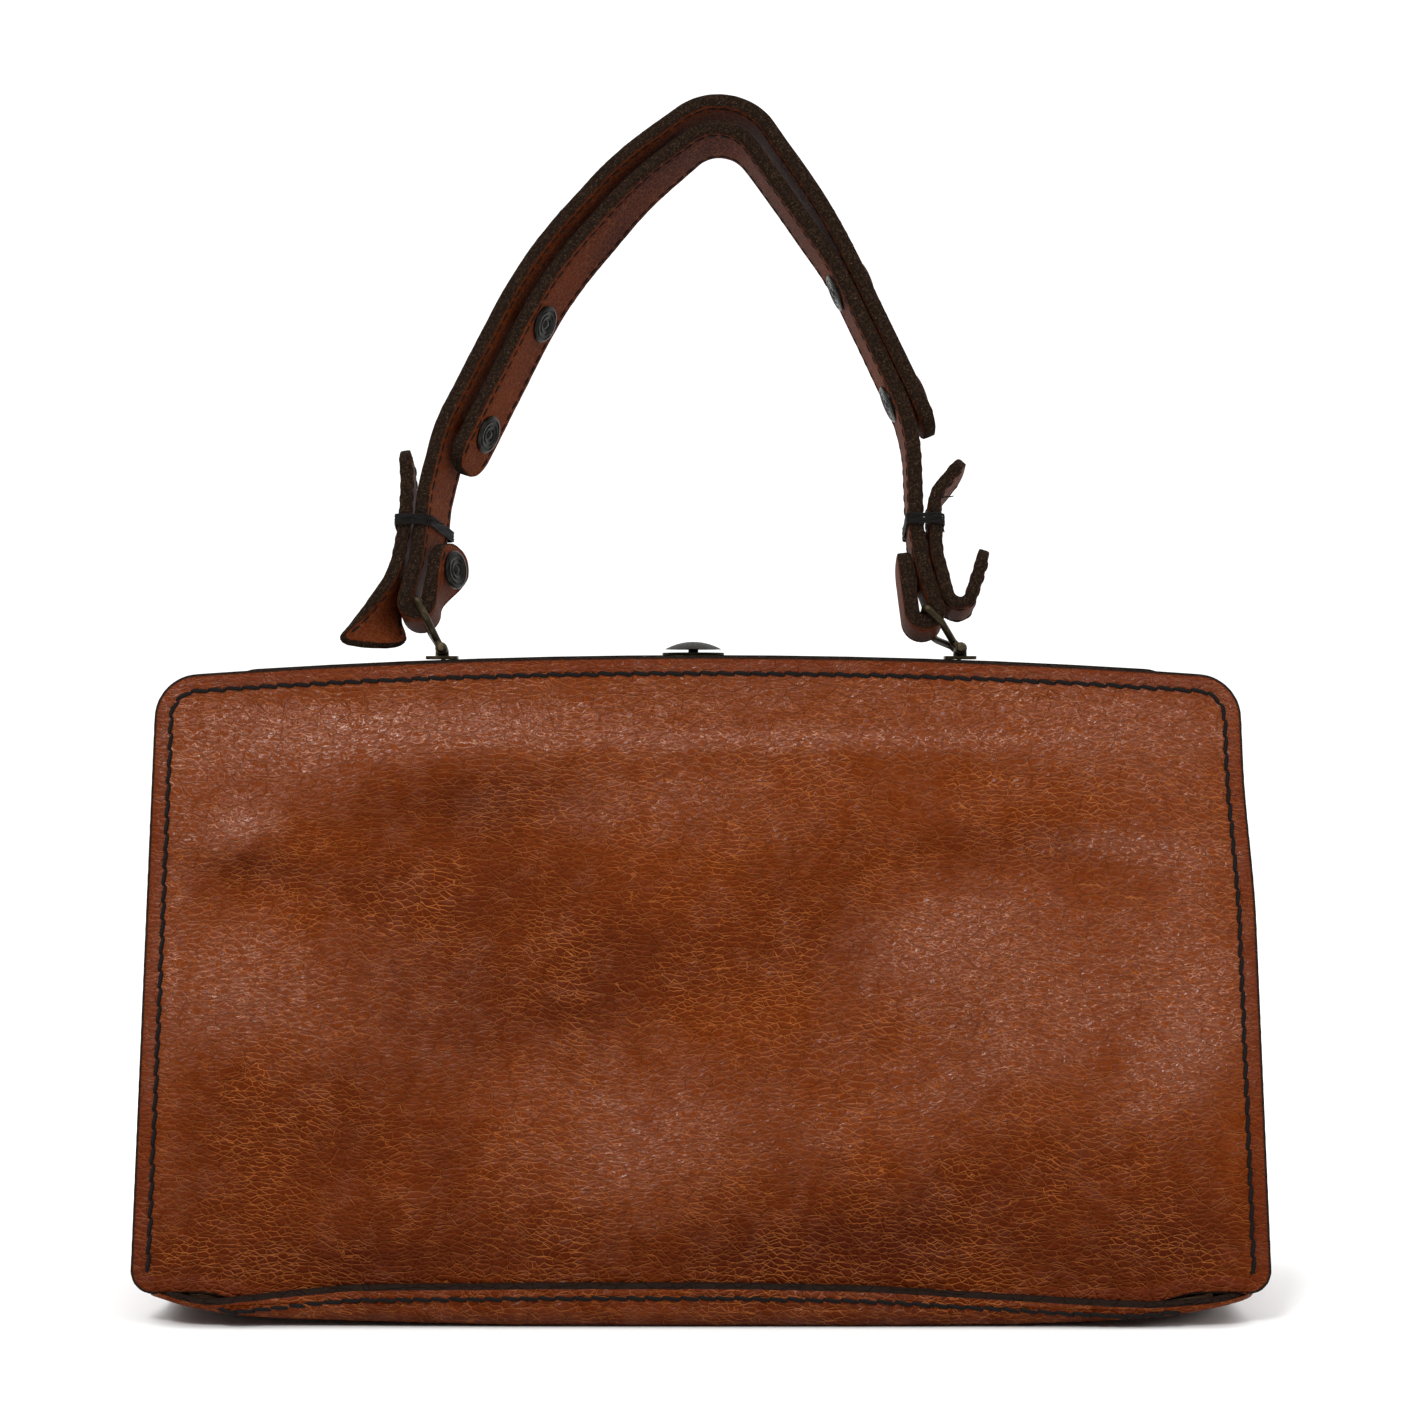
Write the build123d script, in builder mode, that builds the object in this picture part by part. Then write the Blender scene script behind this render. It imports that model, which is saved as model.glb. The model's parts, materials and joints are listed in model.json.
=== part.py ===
from build123d import *
import math
import os

# A framed leather bag with two hinged jaws and a two-strap handle. Millimetres, +Z up.
# The origin is on the ground under the middle of the bag, and -Y is the rear panel.

os.makedirs("parts", exist_ok=True)

# Body
body_width = 341.0
body_height = 200.0
base_depth = 122.0
leather = 2.2
gap = 0.3
arch_rise = 6.5
corner_radius = 13.5

# Base
base_end_inset = 2.0
base_corner = 14.0
base_edge_round = 5.0
lap_height = 12.0
board_thickness = 2.0
foot_inset = 22.0
panel_foot = 5.0

# Frame
frame_inset = 20.5
frame_thickness = 2.0
rail_depth = 9.7
lip_height = 8.0
lip_thickness = 1.5
rail_proud = 0.9
frame_corner = 11.0
hinge_drop = 54.0
eye_radius = 5.5
pin_radius = 1.5
running_gap = 0.05
pin_head = 0.8

# Soft walls
flex_below_hinge = 30.0
flex_above_hinge = 4.0
facing_width = 14.0
facing_thickness = 1.2
gusset_thickness = 1.8
gusset_inset = 11.0
gusset_flange = 8.5
gusset_fold = 26.0
gusset_clear_of_hinge = 8.0
lining_thickness = 0.8
lining_gap = 0.5

# Clasp
clasp_x = -2.5
bezel_rim = 0.8
bezel_thickness = 0.7
button_radius = 9.0
button_rise = 2.4
button_press = 1.0
stem_radius = 1.6
stem_y = 5.0
collar_radius = 2.9
collar_thickness = 1.0
housing_width = 13.0
housing_depth = 12.0
spring_wire = 0.3
spring_turns = 5
spring_floor = 1.5
latch_thickness = 1.4
latch_width = 7.0
keeper_width = 10.0
keeper_thickness = 1.5
keeper_foot = 7.0
keeper_foot_thickness = 1.2

# Handle hardware
lug_x = 81.8
lug_y = -5.2
lug_lift = 2.8
lug_length = 10.0
lug_base = 1.0
tongue_thickness = 2.4
tongue_radius = 2.0
lug_pin_radius = 0.8
pin_head_radius = 1.5
pin_head_thickness = 1.3
handle_lean = 14.0
loop_length = 16.2
loop_foot = 3.2
loop_neck = 9.4
wire_radius = 1.15
loop_eye_width = 2.5
loop_start = 1.3
loop_eye_radius = 1.9
left_loop_lean = 28.0
right_loop_lean = 45.0

# Straps
strap_width = 18.6
ply = 2.2
bar_clearance = 0.45
open_pivot_clearance = 0.75
left_spread = 8.4
right_spread = 5.4
ring_tab_length = 21.0
tab_thickness = 4.0
whip_thread = 0.6
whip_height = 4.0
left_whip_low = 38.6
right_whip_low = 38.9
left_strap_line = 89.0
right_strap_line = 68.2
left_tab_gap = 0.7
right_tab_gap = 1.9
snap_radius = 6.0
snap_cap = 0.9
snap_lift = 0.45
snap_post = 2.0
snap_setback = 15.0
snap_pitch = 42.0
ring_snap_height = 12.5

# Worked out from the sizes above
base_half = base_depth / 2
half_width = body_width / 2
mouth_half = 2 * gap + rail_depth + facing_thickness + leather
lean_in = (base_half - leather - gap - mouth_half) / body_height
wall_angle = math.degrees(math.atan(lean_in))
hinge_z = body_height - hinge_drop
flex_low = hinge_z - flex_below_hinge
flex_high = hinge_z + flex_above_hinge
rail_top = body_height + rail_proud
half_rail = half_width - frame_inset
base_length = body_width - 2 * base_end_inset
sheet_x = half_width - gusset_inset
arch_radius = (half_width**2 + arch_rise**2) / (2 * arch_rise)
strap = 2 * ply
strap_gap = left_spread - strap
strap_gap_right = right_spread - strap


def arch_drop(x):
    return arch_radius - math.sqrt(arch_radius**2 - x**2)


def wall_y(z, depth=0.0):
    """Half depth of the panels' outer face at height z, less a horizontal depth."""
    return base_half - leather - gap - lean_in * z - depth


def save(piece, label):
    piece.part.label = label
    export_step(piece.part, "parts/" + label + ".step")


def save_mirrored(piece, label, about):
    with BuildPart() as twin:
        mirror(piece.part, about=about)
    save(twin, label)


# ---------------------------------------------------------------- base

with BuildPart() as base_panel:
    with BuildSketch() as base_plan:
        RectangleRounded(base_length, base_depth, base_corner)
    extrude(amount=lap_height, taper=wall_angle)
    fillet(base_panel.faces().sort_by(Axis.Z)[0].edges(), base_edge_round)
    with BuildSketch(Plane.XY.offset(leather)):
        inner = leather * (1 + lean_in)
        RectangleRounded(base_length - 2 * inner, base_depth - 2 * inner, base_corner - leather)
    extrude(amount=lap_height, taper=wall_angle, mode=Mode.SUBTRACT)
save(base_panel, "base_panel")

with BuildPart() as base_board:
    with BuildSketch(Plane.XY.offset(leather + 0.1)):
        board_inset = base_edge_round + leather
        RectangleRounded(base_length - 2 * board_inset, base_depth - 2 * board_inset, base_corner / 2)
    extrude(amount=board_thickness)
save(base_board, "base_board")

# ---------------------------------------------------------------- panels

# The rear wall's plane: its inner face, with local x along the bag and local y up the slope
wall_plane = Plane(
    origin=(0, -wall_y(0, leather), 0),
    x_dir=(1, 0, 0),
    z_dir=(0, -math.cos(math.radians(wall_angle)), math.sin(math.radians(wall_angle))),
)
up_slope = 1 / math.cos(math.radians(wall_angle))
panel_thickness = leather / up_slope


def panel_outline(inset=0.0):
    """The panel's face up the slope: straight sides, round corners and an arched top."""
    top = body_height * up_slope
    with BuildSketch() as outline:
        with BuildLine():
            left, right = -half_width + inset, half_width - inset
            shoulder = top - arch_rise - inset
            Line((left, 0), (right, 0))
            Line((right, 0), (right, shoulder))
            ThreePointArc((right, shoulder), (0, top - inset), (left, shoulder))
            Line((left, shoulder), (left, 0))
        make_face()
        corners = outline.vertices().group_by(Axis.Y)[-1]
        fillet(corners, corner_radius - inset / 2)
    return outline.sketch


def panel_piece(low, high):
    """The part of the rear panel between two heights."""
    with BuildPart() as piece:
        with BuildSketch(wall_plane):
            add(panel_outline())
            with Locations((0, (low + high) / 2 * up_slope)):
                Rectangle(body_width, (high - low) * up_slope, mode=Mode.INTERSECT)
        extrude(amount=panel_thickness)
    return piece


rear_panel = panel_piece(lap_height + gap, flex_low)
with BuildPart() as rear_panel_low:
    add(rear_panel.part)
    with BuildSketch(wall_plane):
        with Locations((0, (panel_foot + lap_height + gap) / 2 * up_slope)):
            foot_length = base_length - 2 * foot_inset
            Rectangle(foot_length, (lap_height + gap - panel_foot) * up_slope)
    extrude(amount=panel_thickness)
save(rear_panel_low, "rear_panel")
save_mirrored(rear_panel_low, "front_panel", Plane.XZ)

rear_flex = panel_piece(flex_low, flex_high)
save(rear_flex, "rear_panel_flex")
save_mirrored(rear_flex, "front_panel_flex", Plane.XZ)

rear_top = panel_piece(flex_high, body_height + 1)
save(rear_top, "rear_panel_top")
save_mirrored(rear_top, "front_panel_top", Plane.XZ)

with BuildPart() as rear_facing:
    with BuildSketch(wall_plane.offset(-gap / 2)):
        add(panel_outline(0.4))
        add(panel_outline(facing_width), mode=Mode.SUBTRACT)
        with Locations((0, (flex_high + 1) / 2 * up_slope)):
            Rectangle(body_width, (flex_high + 1) * up_slope, mode=Mode.SUBTRACT)
    extrude(amount=-facing_thickness)
save(rear_facing, "rear_facing")
save_mirrored(rear_facing, "front_facing", Plane.XZ)

# ---------------------------------------------------------------- gussets and lining


def fold_at(z):
    return 2 + gusset_fold * z / hinge_z


def gusset_chain(z, inset=0.0):
    """The folded end wall at height z, from the rear panel to the fold and on to the front panel."""
    reach = wall_y(z, leather + gap / 2)
    x = sheet_x - inset
    return [(x, -reach), (x - fold_at(z), 0), (x, reach)]


def folded_wall(low, high):
    """A V-folded end wall at +X between two heights."""
    with BuildPart() as wall:
        for z in (low, high):
            with BuildSketch(Plane.XY.offset(z)):
                with BuildLine():
                    inner = gusset_chain(z, gusset_thickness)
                    Polyline(*gusset_chain(z), *reversed(inner), close=True)
                make_face()
        loft(ruled=True)
        flange_low = max(low, lap_height + gap)
        for side in (-1, 1):
            for z in (flange_low, high):
                with BuildSketch(Plane.XY.offset(z)):
                    edge = side * wall_y(z, leather + gap / 2)
                    back = edge - side * gusset_thickness
                    inner_x = sheet_x - gusset_thickness
                    outer_x = sheet_x + gusset_flange
                    with Locations(((inner_x + outer_x) / 2, (edge + back) / 2)):
                        Rectangle(outer_x - inner_x, gusset_thickness)
            loft(ruled=True)
    return wall


right_gusset = folded_wall(panel_foot, flex_low)
save(right_gusset, "right_gusset")
save_mirrored(right_gusset, "left_gusset", Plane.YZ)
gusset_top = folded_wall(flex_low, hinge_z - gusset_clear_of_hinge)
save(gusset_top, "right_gusset_flex")
save_mirrored(gusset_top, "left_gusset_flex", Plane.YZ)


def lining_ring(z, inset):
    """The lining's section at height z, notched at both ends where the gussets fold in."""
    x = sheet_x - gusset_thickness - lining_gap - inset
    y = wall_y(z, leather + gap + inset)
    notch = x - fold_at(z)
    return [(-x, -y), (x, -y), (notch, 0), (x, y), (-x, y), (-notch, 0)]


lining_foot = leather + board_thickness + 2 * gap
with BuildPart() as lining:
    for z in (lining_foot, flex_low):
        with BuildSketch(Plane.XY.offset(z)):
            with BuildLine():
                Polyline(*lining_ring(z, 0), close=True)
            make_face()
    loft(ruled=True)
    for z in (lining_foot + lining_thickness, flex_low + 1):
        with BuildSketch(Plane.XY.offset(z)):
            with BuildLine():
                Polyline(*lining_ring(z, lining_thickness), close=True)
            make_face()
    loft(ruled=True, mode=Mode.SUBTRACT)
save(lining, "lining")

with BuildPart() as rear_lining_flex:
    with BuildSketch(wall_plane.offset(-gap)):
        high = body_height - arch_rise - facing_width - 2
        low = flex_low + gap
        with Locations((0, (low + high) / 2 * up_slope)):
            Rectangle(2 * (half_width - facing_width - corner_radius), (high - low) * up_slope)
    extrude(amount=-lining_thickness)
save(rear_lining_flex, "rear_lining_flex")
save_mirrored(rear_lining_flex, "front_lining_flex", Plane.XZ)

# ---------------------------------------------------------------- frame


def rail_outline(half, inset):
    """The closed shape that a jaw's bent strip runs round, reaching below the hinge."""
    with BuildSketch() as outline:
        with BuildLine():
            reach = half - inset
            shoulder = rail_top - inset - arch_drop(half)
            Line((-reach, 0), (reach, 0))
            Line((reach, 0), (reach, shoulder))
            ThreePointArc((reach, shoulder), (0, rail_top - inset), (-reach, shoulder))
            Line((-reach, shoulder), (-reach, 0))
        make_face()
        corners = outline.vertices().group_by(Axis.Y)[-1]
        fillet(corners, max(frame_corner - inset, 1.0))
    return outline.sketch


def rail_band(half, depth):
    """The strip of that outline, depth wide, above the hinge."""
    with BuildSketch() as band:
        add(rail_outline(half, 0))
        add(rail_outline(half, depth), mode=Mode.SUBTRACT)
        with Locations((0, hinge_z / 2)):
            Rectangle(2 * half, hinge_z, mode=Mode.SUBTRACT)
    return band.sketch


def jaw(half, side):
    """One half of the frame: a bent strip with an outer lip, and a hinge eye at each foot."""
    half_gap = gap
    face = Plane.XZ.offset(-side * half_gap)
    outer_face = Plane.XZ.offset(-side * (half_gap + rail_depth - lip_thickness))
    with BuildPart() as piece:
        with BuildSketch(face):
            add(rail_band(half, frame_thickness))
        extrude(amount=-side * rail_depth)
        with BuildSketch(outer_face):
            add(rail_band(half, lip_height))
        extrude(amount=-side * lip_thickness)
        for end in (-1, 1):
            with BuildSketch(Plane.YZ.offset(end * half)):
                with Locations((0, hinge_z)):
                    Circle(eye_radius)
                with Locations((side * (half_gap + rail_depth) / 2, hinge_z + eye_radius / 2)):
                    Rectangle(half_gap + rail_depth, eye_radius)
            extrude(amount=-end * frame_thickness)
            with BuildSketch(Plane.YZ.offset(end * (half + 1))):
                with Locations((0, hinge_z)):
                    Circle(pin_radius + running_gap)
            extrude(amount=-end * (frame_thickness + 2), mode=Mode.SUBTRACT)
    return piece


front_half_rail = half_rail + frame_thickness + gap
rear_frame = jaw(half_rail, -1)
save(rear_frame, "rear_frame")

# The clasp's stem passes through the front rail
with BuildPart() as front_frame:
    add(jaw(front_half_rail, 1).part)
    with BuildSketch(Plane.XY.offset(rail_top - frame_thickness - 1)):
        with Locations((clasp_x, stem_y)):
            Circle(stem_radius + 0.2)
    extrude(amount=frame_thickness + 2, mode=Mode.SUBTRACT)
save(front_frame, "front_frame")

with BuildPart() as hinge_pins:
    for end in (-1, 1):
        with BuildSketch(Plane.YZ.offset(end * (half_rail - frame_thickness - 1))):
            with Locations((0, hinge_z)):
                Circle(pin_radius)
        pin_length = 2 * frame_thickness + gap + 2
        extrude(amount=end * pin_length)
        for start in (0, pin_length):
            outward = end if start else -end
            with BuildSketch(Plane.YZ.offset(end * (half_rail - frame_thickness - 1 + start))):
                with Locations((0, hinge_z)):
                    Circle(2 * pin_radius)
            extrude(amount=outward * pin_head)
save(hinge_pins, "hinge_pins")

with BuildPart() as hinge_washers:
    for end in (-1, 1):
        with BuildSketch(Plane.YZ.offset(end * (half_rail + gap / 6))):
            with Locations((0, hinge_z)):
                Circle(2.4 * pin_radius)
                Circle(pin_radius + running_gap, mode=Mode.SUBTRACT)
        extrude(amount=end * gap * 2 / 3)
save(hinge_washers, "hinge_washers")

# ---------------------------------------------------------------- clasp

rail_under = rail_top - frame_thickness
housing_top = rail_under - arch_drop(abs(clasp_x) + housing_width / 2) - 0.05
housing_low = rail_under - housing_depth
housing_y = (gap + gap + rail_depth - lip_thickness) / 2
collar_low = housing_top - 0.1 - collar_thickness
spring_low = housing_low + spring_floor

with BuildPart() as clasp_housing:
    with BuildSketch(Plane.XY.offset(housing_low)):
        with Locations((clasp_x, housing_y)):
            Rectangle(housing_width, rail_depth - lip_thickness - 2 * gap)
    extrude(amount=housing_top - housing_low)
    with BuildSketch(Plane.XY.offset(spring_low)):
        with Locations((clasp_x, stem_y)):
            Circle(collar_radius + 0.15)
    extrude(amount=housing_top, mode=Mode.SUBTRACT)
    with BuildSketch(Plane.XY.offset(housing_low - 1)):
        with Locations((clasp_x, stem_y)):
            Circle(stem_radius + 0.15)
    extrude(amount=spring_floor + 2, mode=Mode.SUBTRACT)
save(clasp_housing, "clasp_housing")

bezel_low = rail_top + 0.15
with BuildPart() as clasp_bezel:
    with BuildSketch(Plane.XY.offset(bezel_low)):
        with Locations((clasp_x, 0)):
            Circle(button_radius + bezel_rim)
            with Locations((0, stem_y)):
                Circle(stem_radius + 0.3, mode=Mode.SUBTRACT)
    extrude(amount=bezel_thickness)
save(clasp_bezel, "clasp_bezel")

button_low = bezel_low + bezel_thickness + button_press + 0.1
latch_top = housing_low - button_press - gap
with BuildPart() as clasp_button:
    dome_radius = (button_radius**2 + button_rise**2) / (2 * button_rise)
    with BuildSketch(Plane.XZ):
        with BuildLine():
            Line((clasp_x, button_low), (clasp_x + button_radius, button_low))
            middle = button_radius / 2
            middle_z = button_low + button_rise - dome_radius + math.sqrt(dome_radius**2 - middle**2)
            crown = (clasp_x, button_low + button_rise)
            ThreePointArc((clasp_x + button_radius, button_low), (clasp_x + middle, middle_z), crown)
            Line(crown, (clasp_x, button_low))
        make_face()
    revolve(axis=Axis((clasp_x, 0, 0), (0, 0, 1)))
    with BuildSketch(Plane.XY.offset(latch_top - latch_thickness)):
        with Locations((clasp_x, stem_y)):
            Circle(stem_radius)
    extrude(amount=button_low - latch_top + latch_thickness + 0.3)
    with BuildSketch(Plane.XY.offset(collar_low)):
        with Locations((clasp_x, stem_y)):
            Circle(collar_radius)
    extrude(amount=collar_thickness)
save(clasp_button, "clasp_button")

spring_height = collar_low - spring_low - 2 * spring_wire - 0.1
with BuildPart() as clasp_spring:
    spring_radius = (collar_radius + stem_radius) / 2
    with BuildLine() as coil:
        coil_centre = (clasp_x, stem_y, spring_low + spring_wire + 0.05)
        Helix(spring_height / spring_turns, spring_height, spring_radius, center=coil_centre)
    with BuildSketch(Plane(origin=coil.line @ 0, z_dir=coil.line % 0)):
        Circle(spring_wire)
    sweep()
save(clasp_spring, "clasp_spring")

with BuildPart() as clasp_latch:
    with BuildSketch(Plane.XY.offset(latch_top - latch_thickness)):
        with Locations((clasp_x, (gap + stem_y + 2 * stem_radius) / 2)):
            Rectangle(latch_width, stem_y + 2 * stem_radius - gap)
        with Locations((clasp_x, stem_y)):
            Circle(stem_radius + 0.02, mode=Mode.SUBTRACT)
    extrude(amount=latch_thickness)
save(clasp_latch, "clasp_latch")

with BuildPart() as clasp_keeper:
    with BuildSketch(Plane.XZ.offset(gap)):
        keeper_low = latch_top - 2 * latch_thickness
        keeper_top = housing_top
        with Locations((clasp_x, (keeper_low + keeper_top) / 2)):
            Rectangle(keeper_width, keeper_top - keeper_low)
        with Locations((clasp_x, latch_top - latch_thickness / 2)):
            Rectangle(latch_width + 2 * gap, latch_thickness + 2 * gap, mode=Mode.SUBTRACT)
    extrude(amount=keeper_thickness)
    with BuildSketch(Plane.XY.offset(keeper_top - keeper_foot_thickness)):
        with Locations((clasp_x, -gap - keeper_foot / 2)):
            Rectangle(keeper_width, keeper_foot)
    extrude(amount=keeper_foot_thickness)
save(clasp_keeper, "clasp_keeper")

# ---------------------------------------------------------------- handle hardware

lean = math.radians(handle_lean)
near = (0, -math.cos(lean), math.sin(lean))
pin_z = rail_top - arch_drop(lug_x) + lug_lift
handle_plane = Plane(origin=(0, lug_y, pin_z), x_dir=(1, 0, 0), z_dir=near)
half_bar = strap_width / 2 + gap + wire_radius
eye_middle = tongue_thickness / 2 + 0.15 + loop_eye_width / 2
eye_end = eye_middle + loop_eye_width / 2


def in_space(u, v):
    return handle_plane.from_local_coords((u, v, 0))


def lug(side):
    """A foot plate on the rear rail with an upright tongue for the loop's pin."""
    plate_low = rail_top - arch_drop(lug_x - lug_length / 2) + 0.03
    with BuildPart() as piece:
        with BuildSketch(handle_plane):
            with Locations((side * lug_x, 0)):
                Circle(tongue_radius)
                with Locations((0, -tongue_radius)):
                    Rectangle(2 * tongue_radius, 2 * tongue_radius)
        extrude(amount=tongue_thickness / 2, both=True)
        with BuildSketch(Plane.XY.offset(plate_low)):
            with Locations((side * lug_x, lug_y)):
                RectangleRounded(lug_length, rail_depth - 2, 1.5)
        extrude(amount=lug_base)
        with BuildSketch(Plane.XY.offset(plate_low)):
            with Locations((side * lug_x, lug_y)):
                Rectangle(2 * lug_length, 2 * rail_depth)
        extrude(amount=-2 * tongue_radius - 2, mode=Mode.SUBTRACT)
        with BuildSketch(handle_plane):
            with Locations((side * lug_x, 0)):
                Circle(lug_pin_radius + running_gap)
        extrude(amount=tongue_thickness, both=True, mode=Mode.SUBTRACT)
        # the plate is cut back under the loop's eyes
        for way in (-1, 1):
            with BuildSketch(handle_plane.offset(way * (tongue_thickness / 2 + 0.05))):
                with Locations((side * lug_x, 0)):
                    Circle(loop_eye_radius + 0.35)
            extrude(amount=way * (eye_end + pin_head_thickness), mode=Mode.SUBTRACT)
    return piece


def lug_pin(side):
    """A pin with a round head at both ends."""
    with BuildPart() as piece:
        with BuildSketch(handle_plane):
            with Locations((side * lug_x, 0)):
                Circle(lug_pin_radius)
        extrude(amount=eye_end + 0.2, both=True)
        for way in (-1, 1):
            with BuildSketch(handle_plane.offset(way * (eye_end + 0.1))):
                with Locations((side * lug_x, 0)):
                    Circle(pin_head_radius)
            extrude(amount=way * pin_head_thickness)
        fillet(piece.faces().sort_by(handle_plane_axis)[0].edges(), 0.6)
        fillet(piece.faces().sort_by(handle_plane_axis)[-1].edges(), 0.6)
    return piece


def wire_loop(side, angle):
    """A wire loop that leans to -X: a bar across the top, legs drawn in to an eye at each foot."""
    tilt = math.radians(angle)
    along = (-math.sin(tilt), math.cos(tilt) * math.sin(lean), math.cos(tilt) * math.cos(lean))
    foot = in_space(side * lug_x, 0)
    normal = Vector(*near).cross(Vector(*along))
    loop_plane = Plane(origin=foot, x_dir=near, z_dir=normal)
    with BuildPart() as piece:
        with BuildLine(loop_plane) as wire:
            FilletPolyline(
                (eye_middle, loop_start),
                (eye_middle, loop_foot),
                (half_bar, loop_neck),
                (half_bar, loop_length),
                (-half_bar, loop_length),
                (-half_bar, loop_neck),
                (-eye_middle, loop_foot),
                (-eye_middle, loop_start),
                radius=[1.4, 2.5, 1.6, 1.6, 2.5, 1.4],
            )
        with BuildSketch(Plane(origin=wire.line @ 0, z_dir=wire.line % 0)):
            Circle(wire_radius)
        sweep()
        for way in (-1, 1):
            with BuildSketch(handle_plane.offset(way * (eye_middle - loop_eye_width / 2))):
                with Locations((side * lug_x, 0)):
                    Circle(loop_eye_radius)
            extrude(amount=way * loop_eye_width)
        with BuildSketch(handle_plane):
            with Locations((side * lug_x, 0)):
                Circle(lug_pin_radius + running_gap)
        extrude(amount=2 * eye_end, both=True, mode=Mode.SUBTRACT)
    return piece


handle_plane_axis = Axis((0, lug_y, pin_z), near)
save(lug(-1), "left_lug")
save(lug(1), "right_lug")
save(lug_pin(-1), "left_lug_pin")
save(lug_pin(1), "right_lug_pin")
save(wire_loop(-1, left_loop_lean), "left_loop")
save(wire_loop(1, right_loop_lean), "right_loop")

# ---------------------------------------------------------------- straps


def bar_centre(side, angle):
    """Where a loop's bar lies in the handle plane."""
    tilt = math.radians(angle)
    return (side * lug_x - loop_length * math.sin(tilt), loop_length * math.cos(tilt))


def step_from(point, distance, angle):
    a = math.radians(angle)
    return (point[0] + distance * math.cos(a), point[1] + distance * math.sin(a))


def strap_route(side, centre, clearance, arm_angle, tab_angle, corners, radii):
    """A strap's centreline in the handle plane: ring tab, fold under the bar, then the long arm."""
    fold = wire_radius + clearance + ply
    arm_start = step_from(centre, fold, arm_angle - side * 90)
    tab_start = step_from(centre, fold, tab_angle + side * 90)
    with BuildLine() as route:
        Line(step_from(tab_start, ring_tab_length, tab_angle), tab_start)
        CenterArc(centre, fold, tab_angle + side * 90, arm_angle - tab_angle + side * 180)
        FilletPolyline(arm_start, *corners, radius=radii)
    return route.wire()


left_bar = bar_centre(-1, left_loop_lean)
right_bar = bar_centre(1, right_loop_lean)
left_arm_angle, left_tab_angle = 77, 86
right_arm_angle, right_tab_angle = 107, 96
# Corners of each long arm in the handle plane, from the bar to the free end
outer_corners = [
    (-90.2, 27.5), (-88.6, 50), (-83.8, 72.6), (-57, 130),
    (-28, 165), (10.2, 194.6), (42, 145.5), (74, 72),
]
outer_radii = [30, 60, 60, 150, 110, 20, 200]
inner_corners = [
    (70.3, 25), (68.2, 38), (67.6, 73.2), (44.5, 126.5),
    (8.2, 182.3), (-22, 158.7), (-49.8, 125.6), (-80, 60.5),
]
inner_radii = [30, 40, 60, 120, 14, 100, 150]
outer_route = strap_route(
    -1, left_bar, bar_clearance, left_arm_angle, left_tab_angle, outer_corners, outer_radii
)
inner_route = strap_route(
    1, right_bar, open_pivot_clearance, right_arm_angle, right_tab_angle, inner_corners, inner_radii
)


def facing_out(point, normal):
    """A plane at a point of the handle plane, facing along a direction in it."""
    spread = handle_plane.y_dir
    direction = (normal.X, normal.Y * spread.Y, normal.Y * spread.Z)
    return Plane(origin=in_space(point.X, point.Y), x_dir=near, z_dir=direction)


def snap_stations(route, outward):
    """Planes on a strap's centreline at its two snaps, counted back from the free end."""
    planes = []
    for back in (snap_setback, snap_setback + snap_pitch):
        at = route.length - back
        place = route.position_at(at, position_mode=PositionMode.LENGTH)
        along = route.tangent_at(at, position_mode=PositionMode.LENGTH)
        planes.append(facing_out(place, Vector(-along.Y, along.X) * outward))
    return planes


left_snaps = snap_stations(inner_route, -1)
right_snaps = snap_stations(outer_route, 1)


def ring_snap(side, centre, clearance, tab_angle):
    """The plane on a ring tab's centreline where its snap sits, facing away from the long arm."""
    start = step_from(centre, wire_radius + clearance + ply, tab_angle + side * 90)
    place = step_from(start, ring_snap_height, tab_angle)
    away = step_from((0, 0), 1, tab_angle + side * 90)
    return facing_out(Vector(*place), Vector(*away))


ring_snaps = [
    ring_snap(-1, left_bar, bar_clearance, left_tab_angle),
    ring_snap(1, right_bar, open_pivot_clearance, right_tab_angle),
]


snap_reach = 2 * strap + strap_gap


def strap_ply(route, side, holes):
    """One of a strap's two layers, with holes for the snaps that pass through it."""
    with BuildPart() as piece:
        with BuildSketch(handle_plane):
            with BuildLine():
                add(route)
                offset(amount=ply, side=side)
            make_face()
        extrude(amount=strap_width / 2, both=True)
        for plane in holes:
            with BuildSketch(plane):
                Circle(snap_post + running_gap)
            extrude(amount=snap_reach, both=True, mode=Mode.SUBTRACT)
    return piece


outer_holes = left_snaps + right_snaps + ring_snaps[:1]
inner_holes = left_snaps + right_snaps + ring_snaps[1:]
save(strap_ply(outer_route, Side.LEFT, outer_holes), "outer_strap_face")
save(strap_ply(outer_route, Side.RIGHT, outer_holes), "outer_strap_back")
save(strap_ply(inner_route, Side.RIGHT, inner_holes), "inner_strap_face")
save(strap_ply(inner_route, Side.LEFT, inner_holes), "inner_strap_back")


def capped_post(plane, near_end, far_end):
    """A snap's ringed cap beyond far_end on the plane's normal, and its post back to near_end."""
    way = 1 if far_end > near_end else -1
    with BuildPart() as piece:
        with BuildSketch(plane.offset(near_end)):
            Circle(snap_post)
        extrude(amount=far_end - near_end + way * (snap_lift + 0.1))
        with BuildSketch(plane.offset(far_end + way * snap_lift)):
            Circle(snap_radius)
        extrude(amount=way * snap_cap)
        outer_face = piece.faces().sort_by(Axis(plane.origin, plane.z_dir))[-1 if way > 0 else 0]
        chamfer(outer_face.edges(), snap_cap / 3)
    return piece


with BuildPart() as inner_snap_caps:
    for plane in left_snaps:
        add(capped_post(plane, ply + strap_gap / 2 - 0.05, -ply).part)
    for plane in right_snaps:
        far_face = -ply - strap_gap_right - strap
        add(capped_post(plane, -ply - strap_gap_right / 2 - 0.05, far_face).part)
save(inner_snap_caps, "inner_snap_caps")

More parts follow.
